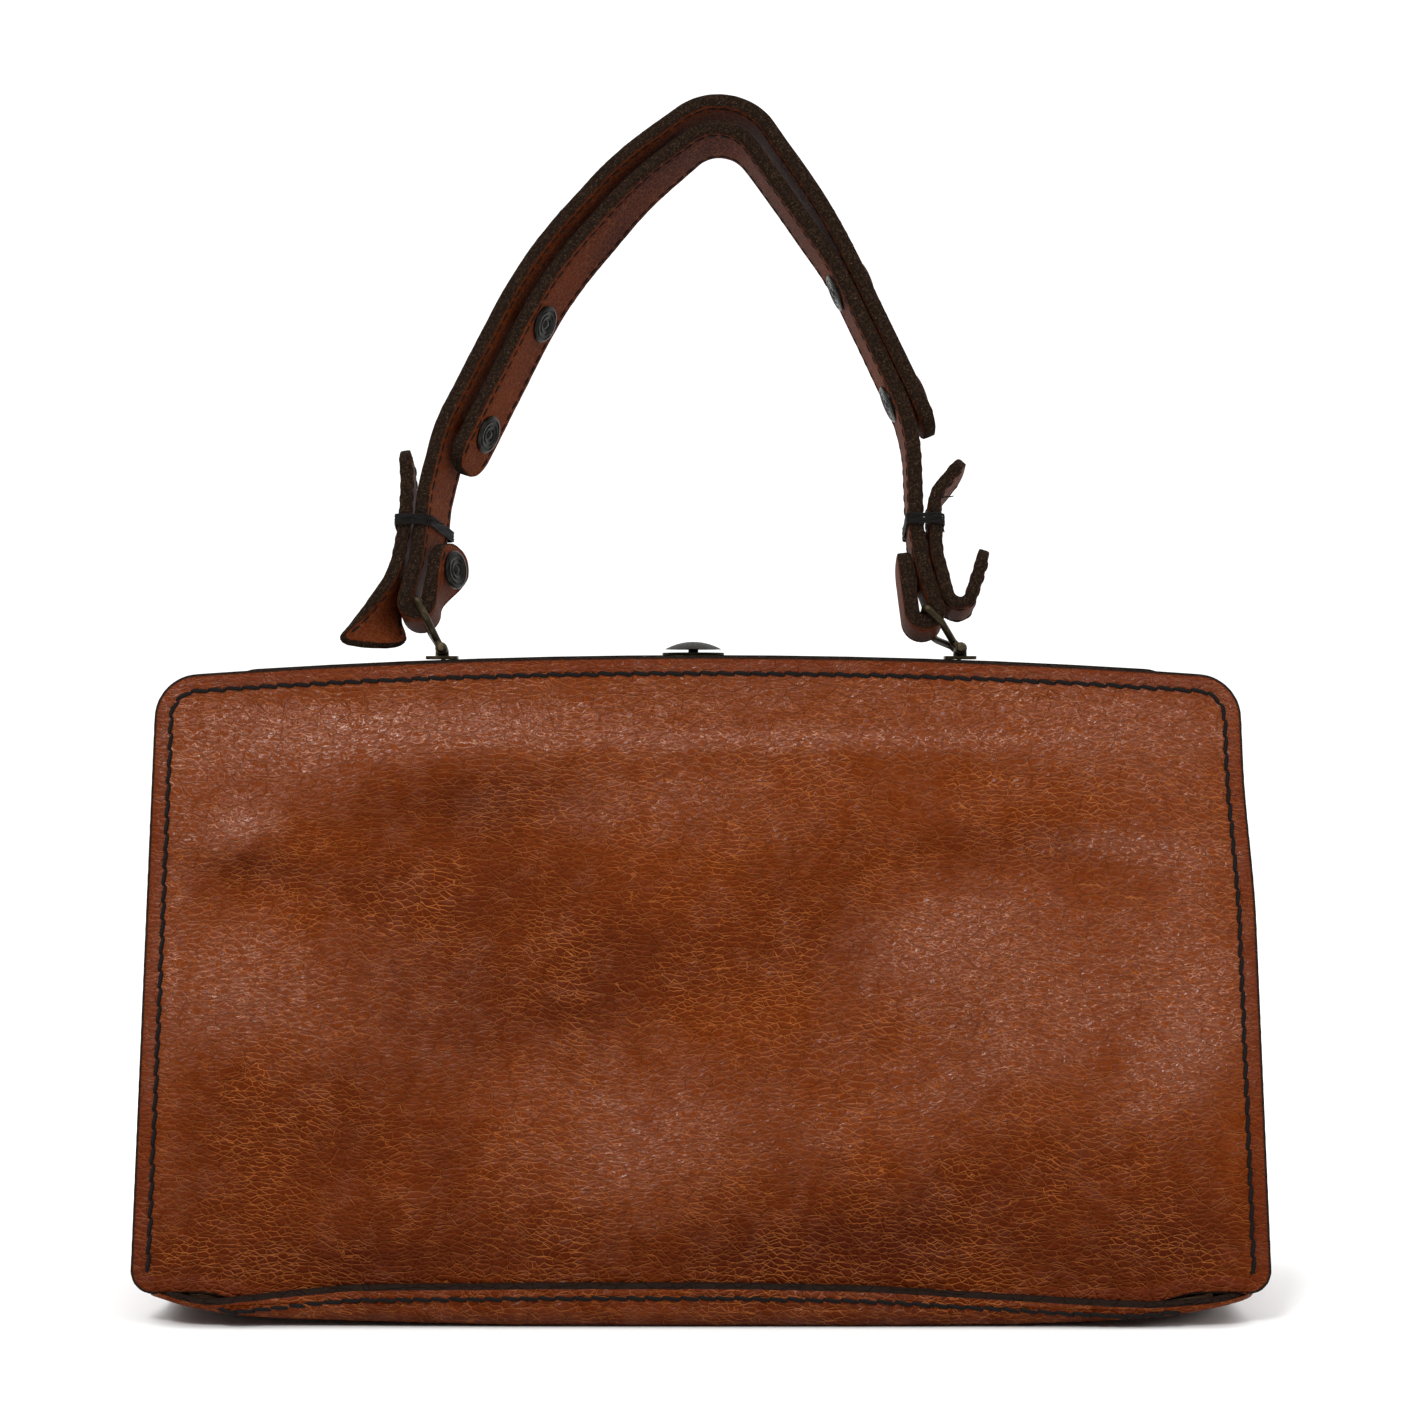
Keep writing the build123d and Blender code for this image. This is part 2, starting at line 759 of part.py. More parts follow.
with BuildPart() as outer_snap_caps:
    for plane in left_snaps:
        add(capped_post(plane, ply + strap_gap / 2 + 0.05, ply + strap_gap + strap).part)
    for plane in right_snaps:
        add(capped_post(plane, -ply - strap_gap_right / 2 + 0.05, ply).part)
save(outer_snap_caps, "outer_snap_caps")

with BuildPart() as ring_snap_caps:
    for plane in ring_snaps:
        add(capped_post(plane, -ply - 0.6, ply).part)
save(ring_snap_caps, "ring_snap_caps")

with BuildPart() as snap_sockets:
    for plane in left_snaps:
        with BuildSketch(plane.offset(ply + strap_gap / 2 + 0.1)):
            Circle(snap_radius * 0.8)
            Circle(snap_post + running_gap, mode=Mode.SUBTRACT)
        extrude(amount=strap_gap / 2 - 0.4)
save(snap_sockets, "snap_sockets")

with BuildPart() as snap_studs:
    for plane in left_snaps:
        with BuildSketch(plane.offset(ply + 0.3)):
            Circle(snap_radius * 0.6)
            Circle(snap_post + running_gap, mode=Mode.SUBTRACT)
        extrude(amount=strap_gap / 2 - 0.4)
save(snap_studs, "snap_studs")

# ---------------------------------------------------------------- outer tabs and whipping

# Each tab lies against its strap's outer side and flares away from it at both ends
tab_out = ply + tab_thickness / 2
left_tab_line = -left_strap_line - left_tab_gap - tab_out
right_tab_line = right_strap_line + right_tab_gap + tab_out

# The left tab's near edge from the tip down: flare, height in the handle plane and twist
left_tab_flares = [
    (0.7, 66, 0), (-0.4, 54, 0), (0, 40, 0), (2.1, 27.6, 0), (4.4, 21, 3),
    (7.9, 15.7, 9), (11.5, 9.7, 25), (15.7, 3.7, 45), (18.6, 0.2, 58),
]
left_tab_path = [(left_tab_line - flare, height, twist) for flare, height, twist in left_tab_flares]


def tab_section(index):
    """The plane across the left tab at one place of its path."""
    u, v, twist = left_tab_path[index]
    before = left_tab_path[max(index - 1, 0)]
    after = left_tab_path[min(index + 1, len(left_tab_path) - 1)]
    turn = math.radians(twist)
    spread = handle_plane.y_dir
    far = -handle_plane.z_dir
    across = Vector(math.sin(turn), 0, 0) + far * math.cos(turn)
    down = Vector(after[0] - before[0], 0, 0) + spread * (after[1] - before[1])
    down = down - across * down.dot(across)
    centre = in_space(u, v) - far * (strap_width / 2) + across * (strap_width / 2)
    return Plane(origin=centre, x_dir=across, z_dir=down.normalized())


with BuildPart() as left_outer_tab:
    for index in range(len(left_tab_path)):
        with BuildSketch(tab_section(index)):
            Rectangle(strap_width, tab_thickness)
    loft(ruled=True)
save(left_outer_tab, "left_outer_tab")

with BuildPart() as right_outer_tab:
    with BuildSketch(handle_plane):
        with BuildLine():
            flares = [(9.7, 61.8), (0, 50), (0, 32), (7.1, 1.9), (15.9, 32.5)]
            tab_corners = [(right_tab_line + flare, height) for flare, height in flares]
            tab_line = FilletPolyline(*tab_corners, radius=[12, 30, 3.9])
            offset(tab_line, amount=tab_thickness / 2, side=Side.BOTH)
        make_face()
    extrude(amount=strap_width / 2, both=True)
save(right_outer_tab, "right_outer_tab")


def whipping(left, right, low):
    """A band of wound thread round a strap and its outer tab, between two sides in the handle plane."""
    spread = handle_plane.y_dir
    with BuildPart() as piece:
        with BuildSketch(Plane(origin=in_space((left + right) / 2, low), x_dir=(1, 0, 0), z_dir=spread)):
            width = right - left + 2 * gap
            RectangleRounded(width + 2 * whip_thread, strap_width + 2 * gap + 2 * whip_thread, 1.2)
            Rectangle(width, strap_width + 2 * gap, mode=Mode.SUBTRACT)
        extrude(amount=whip_height)
    return piece


left_side = left_tab_line - tab_thickness / 2
right_side = right_tab_line + tab_thickness / 2
save(whipping(left_side - gap, ply - left_strap_line + gap, left_whip_low), "left_whipping")
save(whipping(right_strap_line - ply - gap, right_side, right_whip_low), "right_whipping")
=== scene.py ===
import json
import math
import bpy
import bmesh
import numpy as np
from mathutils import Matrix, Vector, noise


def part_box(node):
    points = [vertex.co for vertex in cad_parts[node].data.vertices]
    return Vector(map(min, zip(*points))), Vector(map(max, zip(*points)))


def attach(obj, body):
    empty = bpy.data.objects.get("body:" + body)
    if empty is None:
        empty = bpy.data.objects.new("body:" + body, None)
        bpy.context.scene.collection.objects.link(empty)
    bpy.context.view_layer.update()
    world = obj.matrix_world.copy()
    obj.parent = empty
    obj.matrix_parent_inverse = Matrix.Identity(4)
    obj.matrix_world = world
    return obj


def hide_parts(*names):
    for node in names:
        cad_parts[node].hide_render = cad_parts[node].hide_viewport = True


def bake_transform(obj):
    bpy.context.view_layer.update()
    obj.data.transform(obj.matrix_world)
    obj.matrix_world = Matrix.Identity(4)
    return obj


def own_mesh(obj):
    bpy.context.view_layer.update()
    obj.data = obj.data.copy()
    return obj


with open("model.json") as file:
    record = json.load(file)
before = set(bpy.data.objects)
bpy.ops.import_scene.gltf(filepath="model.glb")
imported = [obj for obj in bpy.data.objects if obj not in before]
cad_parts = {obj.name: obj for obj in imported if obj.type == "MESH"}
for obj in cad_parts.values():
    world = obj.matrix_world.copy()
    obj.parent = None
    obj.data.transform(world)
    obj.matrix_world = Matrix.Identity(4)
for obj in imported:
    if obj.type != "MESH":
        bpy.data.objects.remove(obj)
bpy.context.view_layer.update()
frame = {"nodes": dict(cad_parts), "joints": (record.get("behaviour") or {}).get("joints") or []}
mm = 0.001

# camera, floor and light

cameraSet = {"place": (0.0006, -0.9, 0.1858), "lens": 72.5, "sensor": 36.0}
lightSet = {
    "front": 0.12,
    "behind": 1.2,
    "above": 1.95,
    "horizon": (-0.35, 0.45),    # where the sky goes over from the front level to the one behind
    "zenith": (0.45, 0.8),
    "aim": (0, 0, 0.14),
    "key": {"place": (-0.55, -1.5, 1.7), "size": 0.4, "watts": 20},
    "side": {"place": (1.5, -0.9, 0.75), "size": 0.4, "watts": 5},
}
floorSet = {"half": 30.0, "colour": (0.86, 0.86, 0.855), "shade": 0.985, "cloudScale": 6}


def makeCamera():
    cameraData = bpy.data.cameras.new("mainCamera")
    cameraData.lens = cameraSet["lens"]
    cameraData.sensor_width = cameraSet["sensor"]
    cameraData.clip_start, cameraData.clip_end = 0.01, 50
    camera = bpy.data.objects.new("mainCamera", cameraData)
    bpy.context.scene.collection.objects.link(camera)
    camera.location = cameraSet["place"]
    camera.rotation_euler = (math.radians(90), 0, 0)
    bpy.context.scene.camera = camera


def makeLight(name, light, target):
    data = bpy.data.lights.new(name, "AREA")
    data.energy = light["watts"]
    data.size = light["size"]
    lamp = bpy.data.objects.new(name, data)
    bpy.context.scene.collection.objects.link(lamp)
    lamp.location = light["place"]
    lamp.rotation_euler = (Vector(light["place"]) - target).to_track_quat("Z", "Y").to_euler()


def makeStage():
    world = bpy.data.worlds.new("softSky")
    world.use_nodes = True
    tree, glow = world.node_tree, world.node_tree.nodes["Background"]
    glow.inputs["Color"].default_value = (1, 1, 1, 1)
    split = tree.nodes.new("ShaderNodeSeparateXYZ")
    tree.links.new(tree.nodes.new("ShaderNodeTexCoord").outputs["Generated"], split.inputs[0])
    level = ramp(tree, split.outputs["Y"], *lightSet["horizon"], lightSet["front"], lightSet["behind"])
    upper = ramp(tree, split.outputs["Z"], *lightSet["zenith"])
    rise = calc(tree, "MULTIPLY", upper, calc(tree, "SUBTRACT", lightSet["above"], level))
    wire(tree, calc(tree, "ADD", level, rise), glow.inputs["Strength"])
    bpy.context.scene.world = world
    for name in ("key", "side"):
        makeLight(name + "Light", lightSet[name], Vector(lightSet["aim"]))
    half = floorSet["half"]
    mesh = bpy.data.meshes.new("floor")
    corners = [(-half, -half, 0), (half, -half, 0), (half, half, 0), (-half, half, 0)]
    mesh.from_pydata(corners, [], [(0, 1, 2, 3)])
    floor = bpy.data.objects.new("floor", mesh)
    bpy.context.scene.collection.objects.link(floor)
    paper, tree, shader = newFinish("palePaper")
    shader.inputs["Roughness"].default_value = 0.9
    shader.inputs["Specular IOR Level"].default_value = 0.1
    grain = tree.nodes.new("ShaderNodeTexNoise")
    grain.inputs["Scale"].default_value = floorSet["cloudScale"]
    pale = floorSet["colour"]
    shaded = tuple(c * floorSet["shade"] for c in pale)
    wire(tree, blendColour(tree, grain.outputs["Fac"], pale, shaded), shader.inputs["Base Color"])
    mesh.materials.append(paper)
    bpy.context.scene.view_settings.view_transform = "Standard"
    bpy.context.scene.view_settings.look = "None"


# small helpers for nodes


def newFinish(name):
    finish = bpy.data.materials.new(name)
    finish.use_nodes = True
    return finish, finish.node_tree, finish.node_tree.nodes["Principled BSDF"]


def wire(tree, source, target):
    if isinstance(source, (int, float, tuple)):
        target.default_value = source
    else:
        tree.links.new(source, target)


def calc(tree, operation, a, b=0.0, c=0.0, clamp=False):
    node = tree.nodes.new("ShaderNodeMath")
    node.operation = operation
    node.use_clamp = clamp
    for value, socket in zip((a, b, c), node.inputs):
        wire(tree, value, socket)
    return node.outputs[0]


def times(tree, a, b):
    return calc(tree, "MULTIPLY", a, b)


def swing(tree, value, middle, gain):
    return times(tree, calc(tree, "SUBTRACT", value, middle), gain)


def vectorCalc(tree, operation, a, b=(0, 0, 0), c=(0, 0, 0)):
    node = tree.nodes.new("ShaderNodeVectorMath")
    node.operation = operation
    for value, socket in zip((a, b, c), node.inputs):
        wire(tree, value, socket)
    return node.outputs["Value" if operation == "DISTANCE" else "Vector"]


def mark(tree, name, vector=False):
    node = tree.nodes.new("ShaderNodeAttribute")
    node.attribute_name = name
    return node.outputs["Vector"] if vector else node.outputs["Fac"]


def cloud(tree, place, scale, detail=2.0, roughness=0.5, colour=False):
    node = tree.nodes.new("ShaderNodeTexNoise")
    wire(tree, place, node.inputs["Vector"])
    node.inputs["Scale"].default_value = scale
    node.inputs["Detail"].default_value = detail
    node.inputs["Roughness"].default_value = roughness
    return node.outputs["Color"] if colour else node.outputs["Fac"]


def wander(tree, place, scale, detail, reach):
    # a cloudy push, up to half the reach each way
    push = cloud(tree, place, scale, detail, colour=True)
    return vectorCalc(tree, "MULTIPLY_ADD", push, (reach,) * 3, (-reach / 2,) * 3)


def inCells(tree, place, cell, share=1.0):
    return vectorCalc(tree, "MULTIPLY", place, tuple(share / size for size in cell))


def cells(tree, place):
    # distance from the nearest border between cells
    node = tree.nodes.new("ShaderNodeTexVoronoi")
    node.feature = "DISTANCE_TO_EDGE"
    wire(tree, place, node.inputs["Vector"])
    node.inputs["Scale"].default_value = 1.0
    return node.outputs["Distance"]


def dashes(tree, place, offset):
    # short lines where a cell gives way to the next along the offset
    ends = []
    for shift in ((0, 0, 0), offset):
        node = tree.nodes.new("ShaderNodeTexVoronoi")
        wire(tree, vectorCalc(tree, "ADD", place, shift), node.inputs["Vector"])
        node.inputs["Scale"].default_value = 1.0
        ends.append(node.outputs["Color"])
    return ramp(tree, vectorCalc(tree, "DISTANCE", *ends), 0.005, 0.03)


def ramp(tree, value, low, high, start=0.0, end=1.0):
    node = tree.nodes.new("ShaderNodeMapRange")
    node.interpolation_type = "SMOOTHSTEP"
    node.clamp = True
    wire(tree, value, node.inputs["Value"])
    node.inputs["From Min"].default_value = low
    node.inputs["From Max"].default_value = high
    node.inputs["To Min"].default_value = start
    node.inputs["To Max"].default_value = end
    return node.outputs[0]


def blendColour(tree, share, a, b):
    node = tree.nodes.new("ShaderNodeMix")
    node.data_type = "RGBA"
    node.clamp_factor = True
    wire(tree, share, node.inputs[0])
    wire(tree, (*a, 1) if isinstance(a, tuple) else a, node.inputs[6])
    wire(tree, (*b, 1) if isinstance(b, tuple) else b, node.inputs[7])
    return node.outputs[2]


def relief(tree, shader, height, strength, depth, coat=True):
    node = tree.nodes.new("ShaderNodeBump")
    node.inputs["Strength"].default_value = strength
    node.inputs["Distance"].default_value = depth * mm
    wire(tree, height, node.inputs["Height"])
    wire(tree, node.outputs["Normal"], shader.inputs["Normal"])
    if coat:
        wire(tree, node.outputs["Normal"], shader.inputs["Coat Normal"])


makeCamera()
makeStage()
print("camera, floor and lights ready")

# finishes, whose colours are linear and whose marks come with each piece's mesh

pebbledLook = {
    "deep": (0.052, 0.0062, 0.0002),
    "middle": (0.124, 0.0200, 0.0006),
    # painted sheen: pale pinkish colour standing in for reflections
    "paintedSheenColour": (0.195, 0.0430, 0.0080),
    "line": (0.46, 0.145, 0.030),
    "redEdge": (0.085, 0.0135, 0.0050),
    "paint": (0.012, 0.006, 0.004),
    # painted glint: pale highlight dashes on the pebbles
    "paintedGlint": (0.68, 0.36, 0.24),
    "cell": (2.9, 2.0, 1.6),    # size of the pebbles along x, y and z
    "lineShare": 0.5,
    "foldLineShare": 0.7,
    "paintedGlintShare": 0.34,
    "roughness": 0.56,
    "specular": 0.05,
    "coat": 0.62,
    "coatRoughness": 0.15,
    "bump": 1.0,
    "grainDepth": 0.42,
}
strapLook = {
    "face": (0.075, 0.0145, 0.0035),
    "under": (0.088, 0.0165, 0.0022),
    "plum": (0.030, 0.0065, 0.0035),
    "line": (0.20, 0.065, 0.025),
    "edge": (0.0090, 0.0050, 0.0032),
    "edgeWorn": (0.030, 0.0165, 0.0090),
    "fibre": (0.16, 0.105, 0.07),
    "cell": (2.2, 2.2, 1.6),
    "lineShare": 0.3,
    "specular": 0.04,
    "coat": 0.025,
    "coatRoughness": 0.28,
    "bump": 0.7,
    "grainDepth": 0.32,
}


def pebbledLeather(name, look):
    finish, tree, shader = newFinish(name)
    rest = mark(tree, "rest", vector=True)
    glossAndPaintedSheen, tone, rim = mark(tree, "glossAndPaintedSheen"), mark(tree, "tone"), mark(tree, "rim")
    place = vectorCalc(tree, "ADD", rest, wander(tree, rest, 0.017, 1.5, 14))
    place = vectorCalc(tree, "ADD", place, wander(tree, rest, 0.3, 2, 1.1))
    small, large, tiny = [inCells(tree, place, look["cell"], share) for share in (1.0, 0.4, 1.45)]
    patchy = cloud(tree, rest, 0.021, 4, 0.62)
    mottle = cloud(tree, rest, 0.11, 4, 0.6)
    speck = cloud(tree, rest, 0.9, 2, 0.5)

    # body colour: deeper in random patches and in the painted shade that the tone mark carries, then towards
    # a pale painted sheen where the sheen mark sits
    depth = calc(tree, "ADD", tone, swing(tree, patchy, 0.5, 1.5))
    body = blendColour(tree, calc(tree, "ADD", depth, 0.1, clamp=True), look["middle"], look["deep"])
    hazeAndPaintedSheen = calc(tree, "ADD", glossAndPaintedSheen, swing(tree, mottle, 0.5, 0.9), clamp=True)
    body = blendColour(tree, times(tree, hazeAndPaintedSheen, 0.75), body, look["paintedSheenColour"])
    body = blendColour(tree, ramp(tree, speck, 0.3, 0.75, 0.0, 0.22), body, look["deep"])

    # light lines in the creases, broken up and fewer under the haze and painted sheen
    spread = ramp(tree, cloud(tree, rest, 0.035, 3, 0.6), 0.38, 0.62, 0.3, 1.0)
    broken = ramp(tree, cloud(tree, rest, 0.22, 2, 0.6), 0.3, 0.6, 0.35, 1.0)
    lines = times(tree, times(tree, dashes(tree, small, (0.02, 0, 0.13)), broken), spread)
    foldLines = times(tree, dashes(tree, large, (0.01, 0, 0.05)), broken)
    lines = calc(tree, "MAXIMUM", lines, times(tree, foldLines, look["foldLineShare"]))
    lines = times(tree, lines, calc(tree, "SUBTRACT", 1.0, times(tree, hazeAndPaintedSheen, 0.7)))
    body = blendColour(tree, times(tree, lines, look["lineShare"]), body, look["line"])

    # small painted glints, then the reddish edge and the black paint on its rim
    sparse = ramp(tree, cloud(tree, rest, 0.55, 2, 0.6), 0.49, 0.62)
    paintedGlint = times(tree, dashes(tree, tiny, (0.03, 0, 0.2)), sparse)
    paintedGlint = times(tree, paintedGlint, ramp(tree, hazeAndPaintedSheen, 0.2, 0.7))
    body = blendColour(tree, times(tree, paintedGlint, look["paintedGlintShare"]), body, look["paintedGlint"])
    body = blendColour(tree, ramp(tree, rim, 4.3, 5.6, 0.4, 0.0), body, look["redEdge"])
    body = blendColour(tree, ramp(tree, rim, 0.55, 1.15, 1.0, 0.0), body, look["paint"])
    wire(tree, body, shader.inputs["Base Color"])

    rough = calc(tree, "SUBTRACT", look["roughness"], times(tree, glossAndPaintedSheen, 0.14))
    wire(tree, calc(tree, "ADD", rough, times(tree, mottle, 0.1)), shader.inputs["Roughness"])
    shader.inputs["Specular IOR Level"].default_value = look["specular"]
    shader.inputs["Coat Roughness"].default_value = look["coatRoughness"]
    coat = times(tree, hazeAndPaintedSheen, ramp(tree, rim, 0.6, 2.5, 0.0, look["coat"]))
    wire(tree, coat, shader.inputs["Coat Weight"])
    dome = ramp(tree, cells(tree, small), 0.0, 0.34)
    fold = ramp(tree, cells(tree, large), 0.0, 0.045, 1.0, 0.0)
    height = calc(tree, "SUBTRACT", times(tree, dome, 0.62), times(tree, fold, 0.7))
    height = calc(tree, "ADD", height, times(tree, speck, 0.5))
    height = calc(tree, "ADD", height, times(tree, cloud(tree, rest, 0.3, 3), 0.7))
    relief(tree, shader, height, look["bump"], look["grainDepth"])
    return finish


def strapLeather(name, look):
    finish, tree, shader = newFinish(name)
    rest = mark(tree, "rest", vector=True)
    rim, tone, under = mark(tree, "rim"), mark(tree, "tone"), mark(tree, "under")
    place = vectorCalc(tree, "ADD", rest, wander(tree, rest, 0.18, 2, 2))
    crease = ramp(tree, cells(tree, inCells(tree, place, look["cell"])), 0.0, 0.09, 1.0, 0.0)
    patchy = cloud(tree, rest, 0.05, 4, 0.6)
    speck = cloud(tree, rest, 1.3, 3, 0.6)

    body = blendColour(tree, under, look["face"], look["under"])
    depth = calc(tree, "ADD", tone, swing(tree, patchy, 0.48, 1.6), clamp=True)
    body = blendColour(tree, depth, body, look["plum"])
    body = blendColour(tree, times(tree, crease, look["lineShare"]), body, look["line"])

    # dark ragged edge with a few pale fibres
    fuzz = blendColour(tree, ramp(tree, speck, 0.42, 0.72), look["edge"], look["edgeWorn"])
    fibres = ramp(tree, cloud(tree, rest, 2.6, 2), 0.66, 0.74, 0.0, 0.8)
    fuzz = blendColour(tree, fibres, fuzz, look["fibre"])
    ragged = calc(tree, "ADD", rim, times(tree, cloud(tree, rest, 0.5, 3), 0.9))
    body = blendColour(tree, ramp(tree, ragged, 1.1, 1.75, 1.0, 0.0), body, fuzz)
    wire(tree, body, shader.inputs["Base Color"])

    wire(tree, ramp(tree, rim, 0.8, 1.6, 0.9, 0.66), shader.inputs["Roughness"])
    shader.inputs["Specular IOR Level"].default_value = look["specular"]
    shader.inputs["Coat Roughness"].default_value = look["coatRoughness"]
    wire(tree, ramp(tree, rim, 1.0, 2.2, 0.0, look["coat"]), shader.inputs["Coat Weight"])
    height = calc(tree, "SUBTRACT", cloud(tree, rest, 0.9, 4, 0.7), times(tree, crease, 0.3))
    relief(tree, shader, height, look["bump"], look["grainDepth"])
    return finish


def waxedThread(name):
    finish, tree, shader = newFinish(name)
    rest = mark(tree, "rest", vector=True)
    twist = tree.nodes.new("ShaderNodeTexWave")
    twist.wave_type = "BANDS"
    twist.bands_direction = "DIAGONAL"
    wire(tree, rest, twist.inputs["Vector"])
    twist.inputs["Scale"].default_value = 1.1
    twist.inputs["Distortion"].default_value = 1.5
    body = blendColour(tree, twist.outputs["Fac"], (0.0022, 0.0016, 0.0015), (0.0075, 0.005, 0.0045))
    wire(tree, body, shader.inputs["Base Color"])
    shader.inputs["Roughness"].default_value = 0.6
    shader.inputs["Specular IOR Level"].default_value = 0.12
    relief(tree, shader, twist.outputs["Fac"], 0.7, 0.12, coat=False)
    return finish


def inMillimetres(tree):
    texture = tree.nodes.new("ShaderNodeTexCoord")
    return vectorCalc(tree, "MULTIPLY", texture.outputs["Object"], (1000, 1000, 1000))


def metalFinish(name, dark, rubbed, roughness):
    finish, tree, shader = newFinish(name)
    place = inMillimetres(tree)
    rub = cloud(tree, place, 0.315, 4, 0.65)
    pits = cloud(tree, place, 1.98, 3, 0.6)
    body = blendColour(tree, ramp(tree, rub, 0.36, 0.8), dark, rubbed)
    wire(tree, body, shader.inputs["Base Color"])
    shader.inputs["Metallic"].default_value = 1.0
    wire(tree, ramp(tree, pits, 0.3, 0.75, roughness - 0.08, roughness + 0.16), shader.inputs["Roughness"])
    relief(tree, shader, pits, 0.35, 0.12, coat=False)
    return finish


def liningCloth(name):
    finish, tree, shader = newFinish(name)
    rest = mark(tree, "rest", vector=True)
    twill = tree.nodes.new("ShaderNodeTexWave")
    twill.bands_direction = "DIAGONAL"
    wire(tree, rest, twill.inputs["Vector"])
    twill.inputs["Scale"].default_value = 0.55
    stain = cloud(tree, rest, 0.03, 4, 0.6)
    body = blendColour(tree, ramp(tree, stain, 0.35, 0.7), (0.30, 0.19, 0.11), (0.18, 0.11, 0.06))
    body = blendColour(tree, times(tree, twill.outputs["Fac"], 0.35), body, (0.12, 0.07, 0.04))
    wire(tree, body, shader.inputs["Base Color"])
    shader.inputs["Roughness"].default_value = 0.9
    shader.inputs["Sheen Weight"].default_value = 0.15
    relief(tree, shader, twill.outputs["Fac"], 0.5, 0.15, coat=False)
    return finish


def pressedBoard(name):
    finish, tree, shader = newFinish(name)
    fibre = cloud(tree, inMillimetres(tree), 0.6, 5, 0.7)
    body = blendColour(tree, fibre, (0.24, 0.16, 0.09), (0.36, 0.27, 0.18))
    wire(tree, body, shader.inputs["Base Color"])
    shader.inputs["Roughness"].default_value = 0.9
    relief(tree, shader, fibre, 0.4, 0.2, coat=False)
    return finish


pebbled = pebbledLeather("pebbledLeather", pebbledLook)
strapSkin = strapLeather("strapLeather", strapLook)
thread = waxedThread("waxedThread")
bronze = metalFinish("agedBronze", (0.028, 0.021, 0.012), (0.085, 0.064, 0.036), 0.42)
darkBronze = metalFinish("claspBronze", (0.0085, 0.0070, 0.0045), (0.020, 0.0165, 0.0105), 0.55)
gunMetal = metalFinish("gunMetal", (0.0095, 0.0092, 0.0082), (0.030, 0.028, 0.024), 0.34)
satinSteel = metalFinish("satinSteel", (0.28, 0.27, 0.25), (0.42, 0.41, 0.38), 0.35)
cloth = liningCloth("liningCloth")
board = pressedBoard("pressedBoard")
print("finishes ready")

# mesh helpers, all in millimetres


def makePiece(name, points, faces, finish, marks=None, sharp=55):
    points = np.asarray(points, float)
    mesh = bpy.data.meshes.new(name)
    mesh.from_pydata((points * mm).tolist(), [], [tuple(int(i) for i in f) for f in faces])
    work = bmesh.new()
    work.from_mesh(mesh)
    bmesh.ops.recalc_face_normals(work, faces=work.faces)
    if work.calc_volume(signed=True) < 0:
        bmesh.ops.reverse_faces(work, faces=work.faces)
    work.to_mesh(mesh)
    work.free()
    rest = mesh.attributes.new("rest", "FLOAT_VECTOR", "POINT")
    rest.data.foreach_set("vector", points.astype(np.float32).ravel())
    for markName, values in (marks or {}).items():
        attribute = mesh.attributes.new(markName, "FLOAT", "POINT")
        attribute.data.foreach_set("value", np.asarray(values, np.float32).ravel())
    mesh.polygons.foreach_set("use_smooth", np.ones(len(mesh.polygons), bool))
    mesh.set_sharp_from_angle(angle=math.radians(sharp))
    mesh.materials.append(finish)
    piece = bpy.data.objects.new(name, mesh)
    bpy.context.scene.collection.objects.link(piece)
    return piece


def shellFaces(rows, columns):
    index = np.arange(rows * columns).reshape(rows, columns)
    under = index + rows * columns
    quads = []
    for grid, flip in ((index, False), (under, True)):
        a, b, c, d = grid[:-1, :-1], grid[:-1, 1:], grid[1:, 1:], grid[1:, :-1]
        order = (a, d, c, b) if flip else (a, b, c, d)
        quads.append(np.stack([o.ravel() for o in order], axis=1))
    border = [*index[0, :], *index[1:, -1], *index[-1, -2::-1], *index[-2:0:-1, 0]]
    lower = [*under[0, :], *under[1:, -1], *under[-1, -2::-1], *under[-2:0:-1, 0]]
    count = len(border)
    sides = [(border[i], lower[i], lower[(i + 1) % count], border[(i + 1) % count]) for i in range(count)]
    return np.concatenate(quads).tolist() + sides


def ringFaces(rings, around, capStart=True, capEnd=True):
    faces = []
    for r in range(rings - 1):
        for k in range(around):
            n = (k + 1) % around
            faces.append((r * around + k, r * around + n, (r + 1) * around + n, (r + 1) * around + k))
    if capStart:
        faces.append(tuple(range(around))[::-1])
    if capEnd:
        faces.append(tuple((rings - 1) * around + k for k in range(around)))
    return faces


def joinParts(parts):
    points, faces, start = [], [], 0
    for partPoints, partFaces in parts:
        points.append(np.asarray(partPoints, float))
        faces += [tuple(int(i) + start for i in f) for f in partFaces]
        start += len(partPoints)
    return np.concatenate(points), faces


def runLengths(line):
    return np.concatenate([[0], np.cumsum(np.linalg.norm(np.diff(line, axis=0), axis=1))])


def headings(line):
    forward = np.gradient(line, axis=0)
    return forward / np.linalg.norm(forward, axis=1)[:, None]


def sampled(at, lengths, rows):
    return np.stack([np.interp(at, lengths, rows[:, k]) for k in range(rows.shape[1])], axis=1)


def smoothNoise(points, size, seed=0.0, octaves=1):
    values = np.zeros(len(points))
    for o in range(octaves):
        k = 2.0**o / size
        shift = np.array([seed, -seed, 7 * o])
        values += np.array([noise.noise(Vector(p)) for p in points * k + shift]) / 2.0**o
    return values


